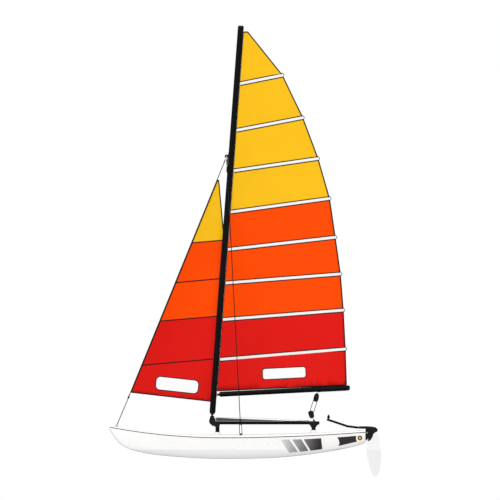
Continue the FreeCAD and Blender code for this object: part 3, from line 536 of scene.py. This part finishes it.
def sail_run(rows, down, start, end, count, past=0.0):
    """Points along a row of a sail from share start to share end, and past the leech."""
    points = [sail_point(rows, down, start + (end - start) * i / count) for i in range(count + 1)]
    if past:
        tail = (points[-1] - points[-2]).normalized()
        points += [points[-1] + tail * past * share for share in (0.5, 0.85, 1.0)]
    return points


def sail_edge(rows, across, steps):
    """Points down a sail from head to foot, with so many steps to a row."""
    return [sail_point(rows, i / steps, across) for i in range((len(rows) - 1) * steps + 1)]


def cloth_colour(place, default):
    """Colour property of some of the sails' panels."""
    return bpy.props.FloatVectorProperty(
        name=f"{place} panels", description=f"Sailcloth of the {place.lower()} panels", subtype="COLOR",
        size=3, default=default, min=0, max=1)


class CatamaranColours(bpy.types.PropertyGroup):
    """Colours of the sailcloth."""
    yellow: cloth_colour("Upper", (0.93, 0.52, 0.012))
    orange: cloth_colour("Middle", (0.97, 0.070, 0.0))
    red: cloth_colour("Lower", (0.72, 0.010, 0.007))


def length(name, description, default):
    return bpy.props.FloatProperty(name=name, description=description, default=default, unit="LENGTH")


class CatamaranSizes(bpy.types.PropertyGroup):
    """Sizes of the pieces that dress the boat."""
    rope: length("Mainsheet radius", "Half the thickness of the mainsheet", 0.0065)
    sag: length("Trampoline sag", "Dip of the trampoline's middle", 0.012)
    floor: length("Water radius", "Radius of the still water plane", 60.0)


def sizes():
    return bpy.context.scene.catamaran_sizes


class CATAMARAN_OT_finishes(bpy.types.Operator):
    """Make the materials and give every construction node its finish"""
    bl_idname = "catamaran.finishes"
    bl_label = "Finishes"

    def execute(self, context):
        chosen = context.scene.catamaran_colours
        build_materials({key: tuple(getattr(chosen, key)) for key in ("yellow", "orange", "red")})
        finish_of = {
            "hull_gelcoat": "gelcoat_white", "deck_gelcoat": "deck_white", "blade_gelcoat": "blade_white",
            "casting": "casting_grey", "track": "track_grey", "block_plastic": "block_black",
            "grip": "foam_grip", "trampoline_mesh": "mesh_grey", "batten_pocket": "pocket_white"}
        slots = {row["node"]: row["material_slot"] for row in frame["record"]["subparts"]}
        wires = ("shroud_port", "shroud_starboard", "bridle_wire_port", "bridle_wire_starboard", "forestay")
        for name, node in frame["nodes"].items():
            key = "wire_dark" if name in wires else finish_of.get(slots[name], slots[name])
            for slot in node.material_slots:
                slot.material = MATERIALS[key]
        return {"FINISHED"}


class CATAMARAN_OT_mainsail(bpy.types.Operator):
    """Mainsail with its panels, window, batten pockets and edge tapes"""
    bl_idname = "catamaran.mainsail"
    bl_label = "Mainsail"

    COLUMNS = 36

    def execute(self, context):
        rows = main_rows()
        window = sail_window((-1.313, 1.682 - DRAFT), (0.436, 0.118), 0.062, -0.05)
        bm = sail_mesh(rows, MAIN_COLOURS, self.COLUMNS, 5, window)
        sail_piece(bm, "mainsail_cloth", "boom", "mainsail")
        self.pockets(rows)
        self.edges(rows)
        return {"FINISHED"}

    def pockets(self, rows):
        """White pockets on both faces, edged with dark stitching and round past the leech."""
        bm = bmesh.new()
        for down in range(1, len(rows) - 1):
            run = sail_run(rows, down, 0.004, 1.0, self.COLUMNS, POCKET_PAST_LEECH)
            last = len(run) - 1
            shape = {last: 0.25, last - 1: 0.75}
            for border, thick, material in ((0.0, 0.014, 0), (POCKET_BORDER, 0.010, 1)):
                half, grow = POCKET_WIDTH / 2 + border, border * 0.7
                path = run[:-1] + [run[-1] + (run[-1] - run[-2]).normalized() * grow]
                ribbon(bm, path, lambda i, half=half: half * shape.get(i, 1.0), material, thick)
        made = piece_from(bm, "batten_pockets", ["pocket_white", "trim_line"], "boom",
                          smooth=False)
        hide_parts("mainsail_battens")

    def edges(self, rows):
        """Bolt rope in the luff, and tapes along leech, foot and head."""
        bm = bmesh.new()
        luff, leech = (sail_edge(rows, across, 4) for across in (0.0, 1.0))
        add_tube(bm, luff, 0.004, sides=6)
        for run in (leech, sail_run(rows, len(rows) - 1, 0.0, 1.0, 24), sail_run(rows, 0, 0.0, 1.0, 3)):
            ribbon(bm, run, EDGE_TAPE / 2, 0, TAPE_THICK)
        piece_from(bm, "mainsail_edges", ["trim_line"], "boom")


class CATAMARAN_OT_jib(bpy.types.Operator):
    """Jib with its panels, window, seams and edge tapes"""
    bl_idname = "catamaran.jib"
    bl_label = "Jib"

    COLUMNS = 30

    def execute(self, context):
        rows = jib_rows()
        window = sail_window((0.794, 1.448 - DRAFT), (0.430, 0.142), 0.092, 0.108)
        bm = sail_mesh(rows, JIB_COLOURS, self.COLUMNS, 8, window)
        sail_piece(bm, "jib_cloth", "jib", "jib")
        bm = bmesh.new()
        for down in range(1, len(rows) - 1):
            ribbon(bm, sail_run(rows, down, 0.002, 0.998, self.COLUMNS), SEAM / 2, 0, 0.007)
        foot = sail_run(rows, len(rows) - 1, 0.0, 1.0, 24)
        for run in (sail_edge(rows, 0.0, 6), sail_edge(rows, 1.0, 6), foot):
            ribbon(bm, run, EDGE_TAPE / 2, 0, TAPE_THICK)
        piece_from(bm, "jib_seams", ["trim_line"], "jib")
        return {"FINISHED"}


def trampoline_height(x):
    """Height of the trampoline's top above the keel's lowest point."""
    for (x0, h0), (x1, h1) in zip(TRAMPOLINE_TOP, TRAMPOLINE_TOP[1:]):
        if x >= x1:
            return h0 + (h1 - h0) * (x - x0) / (x1 - x0)
    return TRAMPOLINE_TOP[-1][1]


class CATAMARAN_OT_trampoline(bpy.types.Operator):
    """Trampoline cloth with a skirt down each side"""
    bl_idname = "catamaran.trampoline"
    bl_label = "Trampoline"

    EDGE_FRONT, HEM_FRONT = 0.040, 0.024    # x at which a skirt starts, above and at its hem

    def execute(self, context):
        columns, rows = 40, 40
        half, front, back = TRAMPOLINE_HALF - CLOTH_THICK, TRAMPOLINE_TOP[0][0], TRAMPOLINE_TOP[-1][0]
        hem = RAIL_TOP + 0.0025
        bm = bmesh.new()
        grid = []
        for i in range(rows + 1):
            x = front + (back - front) * i / rows
            top = trampoline_height(x) - CLOTH_THICK
            foot = at(min(x, self.HEM_FRONT), min(hem, top - 0.001))
            line = [foot + Vector((0, half, 0))]
            for j in range(columns + 1):
                y = half * (1 - 2 * j / columns)
                dip = sizes().sag * (1 - (y / half) ** 2) * math.sin(math.pi * i / rows)
                edge = j in (0, columns)
                line.append(at(min(x, self.EDGE_FRONT) if edge else x, top - dip, y))
            line.append(foot - Vector((0, half, 0)))
            grid.append([bm.verts.new(point) for point in line])
        for a, b in zip(grid, grid[1:]):
            for j in range(len(a) - 1):
                bm.faces.new((a[j], b[j], b[j + 1], a[j + 1]))
        cloth = piece_from(bm, "trampoline_cloth", ["mesh_grey"], "platform",
                           smooth=False)
        thicken(cloth, CLOTH_THICK)
        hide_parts("trampoline")
        return {"FINISHED"}


class CATAMARAN_OT_mainsheet(bpy.types.Operator):
    """Two triple blocks with their sheaves, the mainsheet's falls and the traveller shackle"""
    bl_idname = "catamaran.mainsheet"
    bl_label = "Mainsheet"

    # Each block: top and foot, the outline of its cheeks as shares of length and half width, and how
    # far down the sheaves' pin is
    BLOCKS = {
        "mainsheet_upper_block": (
            [(-1.964, 1.288), (-1.926, 1.120)],
            [(0.0, 0.20), (0.06, 0.52), (0.20, 0.84), (0.45, 1.0), (0.75, 0.97), (0.92, 0.78), (1.0, 0.44)],
            0.58),
        "mainsheet_lower_block": (
            [(-1.824, 0.938), (-1.868, 0.796)],
            [(0.0, 0.62), (0.06, 0.86), (0.20, 1.0), (0.60, 1.0), (0.86, 0.86), (0.96, 0.62), (1.0, 0.36)],
            0.42),
    }
    CHEEK_PLACES = (-0.0305, -0.0105, 0.0105, 0.0305)
    CHEEK_THICK = 0.005
    CHEEK_HALF = 0.052
    SHEAVE_PLACES = (-0.0205, 0.0, 0.0205)
    SHEAVE_RADIUS = 0.040
    FALL_RADIUS = 0.038                 # where the falls leave the sheaves

    def cheek(self, bm, top, foot, shape, y):
        ahead = PORT.cross(foot - top).normalized()
        sides = [[top.lerp(foot, t) + ahead * sign * (self.CHEEK_HALF * w) for t, w in shape]
                 for sign in (1, -1)]
        outline = sides[0] + sides[1][::-1]
        face = bm.faces.new([bm.verts.new(p + Vector((0, y - self.CHEEK_THICK / 2, 0))) for p in outline])
        made = bmesh.ops.extrude_face_region(bm, geom=[face])["geom"]
        verts = [item for item in made if isinstance(item, bmesh.types.BMVert)]
        bmesh.ops.translate(bm, verts=verts, vec=(0, self.CHEEK_THICK, 0))

    def tackle_block(self, name):
        """Cheeks, sheaves and pin of a block; returns its top, its foot and its pin's middle."""
        ends, shape, share = self.BLOCKS[name]
        top, foot = (at(*point) for point in ends)
        bm = bmesh.new()
        for y in self.CHEEK_PLACES:
            self.cheek(bm, top, foot, shape, y)
        bmesh.ops.bevel(
            bm, geom=bm.edges[:], offset=0.0012, affect="EDGES", segments=1, profile=0.5, material=-1)
        bmesh.ops.recalc_face_normals(bm, faces=bm.faces[:])
        middle = top.lerp(foot, share)
        for y in self.SHEAVE_PLACES:
            centre = middle + Vector((0, y, 0))
            add_disc(bm, centre, 0.0065, self.SHEAVE_RADIUS, sides=28, material=1, bevel=0.002)
        add_disc(bm, middle, 0.0345, 0.008, sides=16, material=1, bevel=0.001)
        made = piece_from(bm, name + "_cheeks", ["block_black", "casting_grey"], "boom",
                          smooth=False)
        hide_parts(name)
        return top, foot, middle

    def execute(self, context):
        high, upper, start = self.tackle_block("mainsheet_upper_block")
        _, eye, end = self.tackle_block("mainsheet_lower_block")
        bm = bmesh.new()
        hanger = (high - upper).normalized()
        add_tube(bm, [high - hanger * 0.02, high + hanger * 0.034], 0.0075, sides=12)
        add_tube(bm, [eye - Vector((0, 0.012, 0)), eye + Vector((0, 0.012, 0))], 0.009, sides=12)
        piece_from(bm, "mainsheet_block_eyes", ["stainless"], "boom")
        ahead = PORT.cross((end - start).normalized()).normalized()
        bm = bmesh.new()
        for y in self.SHEAVE_PLACES:
            for edge in (-self.FALL_RADIUS, self.FALL_RADIUS):
                shift = ahead * edge + Vector((0, y, 0))
                add_tube(bm, [start + shift, end + shift], sizes().rope)
        piece_from(bm, "mainsheet_falls", ["rope_dark"], "boom")
        bm = bmesh.new()
        for side in (-1, 1):
            y = side * 0.010
            bow = [at(REAR_BAR_X, 0.760, y), at(-1.893, 0.776, y), at(-1.882, 0.787, y * 1.4)]
            add_tube(bm, bow, 0.005)
        add_tube(bm, [at(-1.882, 0.787, -0.016), at(-1.882, 0.787, 0.016)], 0.004)
        piece_from(bm, "traveller_shackle", ["wire_dark"], "traveller_car")
        return {"FINISHED"}


class CATAMARAN_OT_rig_fittings(bpy.types.Operator):
    """Hound disc, halyards, cleats, clew ring and outhaul on the mast and the boom"""
    bl_idname = "catamaran.rig_fittings"
    bl_label = "Rig fittings"

    HOUND_RADIUS = 0.037
    HALYARDS = {"port": (5.90, 1.720), "starboard": (8.42, 2.050)}  # height at the sheave and at the cleat
    LINE_RADIUS = 0.003
    HALYARD_AFT, HALYARD_OUT = 0.040, 0.024     # a halyard lies behind the mast's widest line
    HALYARD_LEAD = 0.35                 # above its cleat it leads forward to it

    def execute(self, context):
        bm = bmesh.new()
        add_disc(bm, at(*HOUND), 0.0045, self.HOUND_RADIUS, sides=32, bevel=0.001)
        add_tube(bm, [mast_at(height, MAST_FORE + 0.010) for height in (5.915, 5.80, 5.63)], 0.008)
        piece_from(bm, "hound_plate", ["casting_grey"], "mast")
        self.halyards()
        self.boom_gear()
        return {"FINISHED"}

    def halyards(self):
        """One halyard each side, from its sheave down to its cleat."""
        for word, (top, low) in self.HALYARDS.items():
            side = SIDES[word]
            bm = bmesh.new()
            out = side * (MAST_HALF + 0.006)
            beside = [mast_at(height, -self.HALYARD_AFT, side * self.HALYARD_OUT)
                      for height in (top, low + self.HALYARD_LEAD)]
            add_tube(bm, beside + [mast_at(low, 0.0, out)], self.LINE_RADIUS, sides=6)
            cleat = mast_at(low - 0.02, 0.0, side * (MAST_HALF + 0.008))
            add_box(bm, cleat, (0.014, 0.016, 0.045), material=1, bevel=0.002)
            horns = [cleat + Vector((0, side * 0.012, 0)) + mast_axis() * reach
                     for reach in (-0.055, 0.0, 0.055)]
            add_tube(bm, horns, 0.006, material=1)
            piece_from(bm, f"mast_halyard_{word}", ["rope_dark", "black_anodised"], "mast")

    def boom_gear(self):
        """Outhaul with its cleat under the boom, and the ring at the mainsail's clew."""
        front, back = at(*BOOM_FRONT), at(*BOOM_BACK)
        along = (back - front).normalized()
        below = Vector((along.z, 0, -along.x))
        below = below if below.z < 0 else -below
        bm = bmesh.new()
        line = [back + below * (BOOM_DEPTH + 0.004) - along * reach for reach in (0.03, 0.40, 0.62)]
        add_tube(bm, line, self.LINE_RADIUS, sides=6)
        add_box(bm, line[-1] - below * 0.002, (0.05, 0.014, 0.012), material=1, bevel=0.002)
        piece_from(bm, "boom_outhaul", ["rope_dark", "black_anodised"], "boom")
        bm = bmesh.new()
        clew = at(MAIN_ROWS[-1][1] + 0.045, MAIN_ROWS[-1][2] + 0.045)
        add_disc(bm, clew, 0.006, 0.015, sides=24, bevel=0.001)
        piece_from(bm, "clew_ring", ["casting_grey"], "boom")


class CATAMARAN_OT_deck_fittings(bpy.types.Operator):
    """Hiking straps, trampoline lacing, jib sheet cleats, rivets and drain plugs"""
    bl_idname = "catamaran.deck_fittings"
    bl_label = "Deck fittings"

    STRAP_Y, STRAP_HALF = 0.28, 0.025
    LACE_TURNS, LACE_HALF = 36, 0.022
    CLEAT_Y = 0.62
    CASTING_FACE = 1.115
    RIVETS = [(0.100, 0.739), (0.075, 0.770), (0.125, 0.770), (0.075, 0.708), (0.125, 0.708),
              (REAR_BAR_X, 0.697), (-1.925, 0.697), (-1.873, 0.697)]
    DRAIN = (-2.905, 0.335)

    def execute(self, context):
        self.straps()
        self.lacing()
        for name, side in SIDES.items():
            self.sheet_cleat(name, side)
            self.rivets(name, side)
            self.drain(name, side)
        return {"FINISHED"}

    def straps(self):
        """Two webbing straps along the trampoline, a little slack above it."""
        bm = bmesh.new()
        for y in (-self.STRAP_Y, self.STRAP_Y):
            points = []
            for step in range(25):
                share = step / 24
                x = blend_between(0.02, -1.80, share)
                lift = 0.004 + 0.022 * math.sin(math.pi * share)
                points.append(at(x, trampoline_height(x) + lift, y))
            ribbon(bm, points, self.STRAP_HALF, facing=UP)
        piece_from(bm, "hiking_straps", ["webbing_black"], "platform", smooth=False)

    def lacing(self):
        """Cord laced to and fro along the trampoline's middle seam."""
        bm = bmesh.new()
        points = []
        for step in range(self.LACE_TURNS + 1):
            x = blend_between(0.0, -1.80, step / self.LACE_TURNS)
            height = trampoline_height(x) + 0.003 - self.dip(x)
            points.append(at(x, height, self.LACE_HALF * (-1) ** step))
        add_tube(bm, points, 0.0025, sides=6)
        for side in (-1, 1):
            edge = [Vector((p.x, side * 0.028, p.z - 0.001)) for p in points[::2]]
            ribbon(bm, edge, 0.010, 1, facing=UP)
        piece_from(bm, "trampoline_lacing", ["rope_white", "webbing_black"], "platform",
                   smooth=False)

    def dip(self, x):
        length = TRAMPOLINE_TOP[0][0] - TRAMPOLINE_TOP[-1][0]
        return sizes().sag * math.sin(math.pi * (TRAMPOLINE_TOP[0][0] - x) / length)

    def sheet_cleat(self, name, side):
        """Jib sheet block and cleat on the front crossbar."""
        bm = bmesh.new()
        base = at(0.100, 0.809, side * self.CLEAT_Y)
        add_box(bm, base, (0.075, 0.050, 0.010), bevel=0.002)
        for reach in (-0.014, 0.014):
            jaw = base + Vector((-0.016, reach, 0.005))
            add_cylinder(bm, jaw, jaw + Vector((0, 0, 0.014)), 0.011, sides=16, bevel=0.001)
        add_disc(bm, base + Vector((0.020, 0, 0.024)), 0.008, 0.019, sides=24, bevel=0.002)
        piece_from(bm, f"jib_sheet_cleat_{name}", ["block_black"], "platform",
                   smooth=False)

    def rivets(self, name, side):
        """Rivets through the corner castings."""
        bm = bmesh.new()
        for x, height in self.RIVETS:
            spot = at(x, height, side * self.CASTING_FACE)
            add_cylinder(bm, spot, spot + Vector((0, side * 0.003, 0)), 0.006, sides=12, bevel=0.001)
        piece_from(bm, f"casting_rivets_{name}", ["casting_grey"], "platform")

    def drain(self, name, side):
        """Drain plug in the transom."""
        bm = bmesh.new()
        plug = at(*self.DRAIN, side * HULL_Y)
        add_cylinder(bm, plug, plug - Vector((0.008, 0, 0)), 0.010, sides=20, bevel=0.001)
        piece_from(bm, f"drain_plug_{name}", ["block_black"], "platform")


class CATAMARAN_OT_hull_trim(bpy.types.Operator):
    """Gunwale lips, keel strips and the vinyl stripes and badge on the hull sides"""
    bl_idname = "catamaran.hull_trim"
    bl_label = "Hull trim"

    # Corners of each stripe, top front, top back, foot back, foot front, and the hollow of its ends
    STRIPES = [
        ([(-1.246, 0.368), (-1.411, 0.376), (-1.580, 0.136), (-1.415, 0.112)], 0.0, 0.0),
        ([(-1.468, 0.376), (-1.647, 0.380), (-1.791, 0.154), (-1.628, 0.132)], 0.0, 0.0),
        ([(-1.695, 0.380), (-2.040, 0.401), (-2.062, 0.187), (-1.834, 0.154)], 0.0, 0.0),
        ([(-2.350, 0.417), (-2.739, 0.449), (-2.747, 0.333), (-2.381, 0.248)], 0.030, 0.016),
    ]
    BADGE = (-2.804, 0.407)
    BADGE_RADIUS = 0.046
    LIP_ENDS = (-2.902, 2.120)
    KEEL_ENDS = (2.128, -2.900)

    def surface(self, names):
        """Tree of the nodes' triangles, to find the outer skin from one side."""
        verts, faces = [], []
        for name in names:
            mesh = frame["nodes"][name].data
            base = len(verts)
            verts += [vert.co.copy() for vert in mesh.vertices]
            faces += [[base + i for i in face.vertices] for face in mesh.polygons]
        return BVHTree.FromPolygons(verts, faces)

    def skin(self, tree, x, z, side, lift, inboard=False):
        """Point on a hull's outboard or inboard side, lifted off it, or None."""
        away = side * (-1 if inboard else 1)
        start = Vector((x, side * (0.2 if inboard else 3.0), z))
        hit = tree.ray_cast(start, Vector((0, -away, 0)))[0]
        return None if hit is None else hit + Vector((0, away * lift, 0))

    def seam_height(self, x):
        """Joint of the hull and deck mouldings, above the keel's lowest point."""
        rise = 4.2e-2 if x > -0.1 else 1.38e-2
        return 0.413 + rise * (x + 0.1) ** 2

    def execute(self, context):
        for side_name, side in SIDES.items():
            tree = self.surface([f"hull_{side_name}", f"deck_{side_name}"])
            self.lip(tree, side_name, side)
            self.stripes(tree, side_name, side)
            self.keel_strip(tree, side_name, side)
        return {"FINISHED"}

    def lip(self, tree, side_name, side):
        """Dark lip along both sides of the joint of hull and deck."""
        bm = bmesh.new()
        for inboard in (False, True):
            points = []
            for step in range(61):
                x = blend_between(*self.LIP_ENDS, step / 60)
                point = self.skin(tree, x, self.seam_height(x) - DRAFT - 0.003, side, 0.0015, inboard)
                if point:
                    points.append(point)
            add_tube(bm, points, 0.006, sides=8)
        piece_from(bm, f"gunwale_lip_{side_name}", ["trim_line"], "platform")

    def keel_strip(self, tree, side_name, side):
        """Grey rub strip along the keel and up the stem."""
        points = []
        for step in range(81):
            x = blend_between(*self.KEEL_ENDS, step / 80)
            hits = []
            for offset in range(-8, 25, 2):
                start = Vector((x, side * (HULL_Y + offset * 0.001), -1.0))
                hits.append(tree.ray_cast(start, Vector((0, 0, 1)))[0])
            hits = [hit for hit in hits if hit]
            if hits:
                points.append(min(hits, key=lambda hit: hit.z))
        bm = bmesh.new()
        add_tube(bm, points, 0.004, sides=8)
        piece_from(bm, f"keel_strip_{side_name}", ["rub_strip"], "platform")

    def stripes(self, tree, side_name, side):
        """Four vinyl stripes laid on the hull's outboard side, and the badge behind them."""
        bm = bmesh.new()
        across, down = 20, 10
        for corners, front_hollow, back_hollow in self.STRIPES:
            top_front, top_back, foot_back, foot_front = (Vector(corner) for corner in corners)
            rows = []
            for i in range(down + 1):
                share = i / down
                hollow = 4 * share * (1 - share)
                front = top_front.lerp(foot_front, share) - Vector((front_hollow * hollow, 0))
                back = top_back.lerp(foot_back, share) + Vector((back_hollow * hollow, 0))
                rows.append([self.vinyl_vert(bm, tree, side, front.lerp(back, j / across))
                             for j in range(across + 1)])
            for a, b in zip(rows, rows[1:]):
                for j in range(across):
                    bm.faces.new((a[j], a[j + 1], b[j + 1], b[j]))
        self.badge(bm, tree, side)
        if side < 0:
            bmesh.ops.reverse_faces(bm, faces=bm.faces[:])
        names = ["stripe_fade", "trim_line", "badge_yellow"]
        piece_from(bm, f"hull_stripes_{side_name}", names, "platform")

    def vinyl_vert(self, bm, tree, side, spot):
        """Vertex just off the hull's side at an x and a height."""
        return bm.verts.new(self.skin(tree, spot.x, spot.y - DRAFT, side, VINYL_LIFT))

    def badge(self, bm, tree, side):
        """Plain round badge: a dark ring about a yellow middle."""
        sides = 32
        rings = []
        for share in (1.0, 0.5, 0.02):
            ring = []
            for step in range(sides):
                angle = math.tau * step / sides
                reach = Vector((math.cos(angle), math.sin(angle))) * self.BADGE_RADIUS * share
                ring.append(self.vinyl_vert(bm, tree, side, Vector(self.BADGE) + reach))
            rings.append(ring)
        for index, (outer, inner) in enumerate(zip(rings, rings[1:])):
            for j in range(sides):
                k = (j + 1) % sides
                bm.faces.new((outer[k], outer[j], inner[j], inner[k])).material_index = 1 + index
        bm.faces.new(rings[-1][::-1]).material_index = 2


class CATAMARAN_OT_stage(bpy.types.Operator):
    """Still pale water plane, soft light, white surroundings and the camera"""
    bl_idname = "catamaran.stage"
    bl_label = "Stage"

    SKY_LIGHT = 0.70
    LAMPS = {"key": ((-0.35, -1.0, -0.75), 1.30), "fill": ((0.5, 1.0, -0.5), 0.40)}    # direction, strength
    LAMP_SPREAD = 25
    VIEW_SIZE = 9.84
    VIEW_CENTRE = (-0.640, 4.105)       # x, and height above the keel's lowest point

    def execute(self, context):
        self.water()
        self.surroundings()
        self.lamps()
        self.camera()
        return {"FINISHED"}

    def water(self):
        """Plane at the waterline, solid from above and clear to light and from below."""
        bm = bmesh.new()
        bmesh.ops.create_circle(bm, cap_ends=True, segments=96, radius=sizes().floor)
        mesh = bpy.data.meshes.new("still_water")
        bm.to_mesh(mesh)
        bm.free()
        graph, shader, _ = start_material("pale_floor")
        graph.fill(shader, {"Base Color": (0.86, 0.86, 0.86, 1), "Roughness": 0.6})
        clear = graph.node("ShaderNodeBsdfTransparent").outputs[0]
        back = graph.node("ShaderNodeNewGeometry").outputs["Backfacing"]
        shadow = graph.node("ShaderNodeLightPath").outputs["Is Shadow Ray"]
        see_through = graph.maths("MAXIMUM", back, shadow)
        mixed = graph.node("ShaderNodeMixShader", {0: see_through, 1: shader.outputs[0], 2: clear})
        graph.fill(graph.tree.nodes["Material Output"], {"Surface": mixed.outputs[0]})
        mesh.materials.append(MATERIALS["pale_floor"])
        floor = new_object("still_water", mesh)

    def surroundings(self):
        """Even white sky, a little dimmer as light than it looks."""
        world = bpy.data.worlds.new("plain_white")
        bpy.context.scene.world = world
        world.use_nodes = True
        graph = Graph(world.node_tree)
        background = world.node_tree.nodes["Background"]
        background.inputs["Color"].default_value = WHITE
        path = graph.node("ShaderNodeLightPath").outputs
        seen = graph.maths("MAXIMUM", path["Is Camera Ray"], path["Is Glossy Ray"])
        seen = graph.maths("MAXIMUM", seen, path["Is Transmission Ray"])
        graph.feed(background.inputs["Strength"], graph.remap(seen, 0.0, 1.0, self.SKY_LIGHT, 1.0))

    def lamps(self):
        """Two broad suns, the stronger from port and ahead."""
        for name, (direction, strength) in self.LAMPS.items():
            data = bpy.data.lights.new(name, "SUN")
            data.energy = strength
            data.angle = math.radians(self.LAMP_SPREAD)
            lamp = new_object(name, data)
            lamp.rotation_euler = Vector(direction).to_track_quat("-Z", "Y").to_euler()

    def camera(self):
        """Flat side view from port."""
        data = bpy.data.cameras.new("side_view")
        data.type = "ORTHO"
        data.ortho_scale = self.VIEW_SIZE
        data.clip_end = 100
        view = new_object("side_view", data)
        view.location = at(*self.VIEW_CENTRE, 20.0)
        view.rotation_euler = (math.radians(90), 0, math.radians(180))
        bpy.context.scene.camera = view
        bpy.context.scene.view_settings.view_transform = "Standard"


class CATAMARAN_PT_pieces(bpy.types.Panel):
    """Lists the steps that dress the boat"""
    bl_idname = "CATAMARAN_PT_pieces"
    bl_label = "Catamaran"
    bl_space_type = "VIEW_3D"
    bl_region_type = "UI"
    bl_category = "Catamaran"

    def draw(self, context):
        for group in (context.scene.catamaran_colours, context.scene.catamaran_sizes):
            for key in group.__annotations__:
                self.layout.prop(group, key)
        for operator in OPERATORS:
            self.layout.operator(operator.bl_idname)


OPERATORS = [
    CATAMARAN_OT_finishes, CATAMARAN_OT_mainsail, CATAMARAN_OT_jib, CATAMARAN_OT_trampoline,
    CATAMARAN_OT_mainsheet, CATAMARAN_OT_rig_fittings, CATAMARAN_OT_deck_fittings, CATAMARAN_OT_hull_trim,
    CATAMARAN_OT_stage,
]
CLASSES = [CatamaranColours, CatamaranSizes] + OPERATORS + [CATAMARAN_PT_pieces]


def register():
    for item in CLASSES:
        bpy.utils.register_class(item)
    bpy.types.Scene.catamaran_colours = bpy.props.PointerProperty(type=CatamaranColours)
    bpy.types.Scene.catamaran_sizes = bpy.props.PointerProperty(type=CatamaranSizes)


def unregister():
    del bpy.types.Scene.catamaran_sizes
    del bpy.types.Scene.catamaran_colours
    for item in reversed(CLASSES):
        bpy.utils.unregister_class(item)


def main():
    register()
    for operator in OPERATORS:
        group, name = operator.bl_idname.split(".")
        result = getattr(getattr(bpy.ops, group), name)()
        if result != {"FINISHED"}:
            raise RuntimeError(f"{operator.bl_idname} did not finish")


if __name__ == "__main__":
    main()
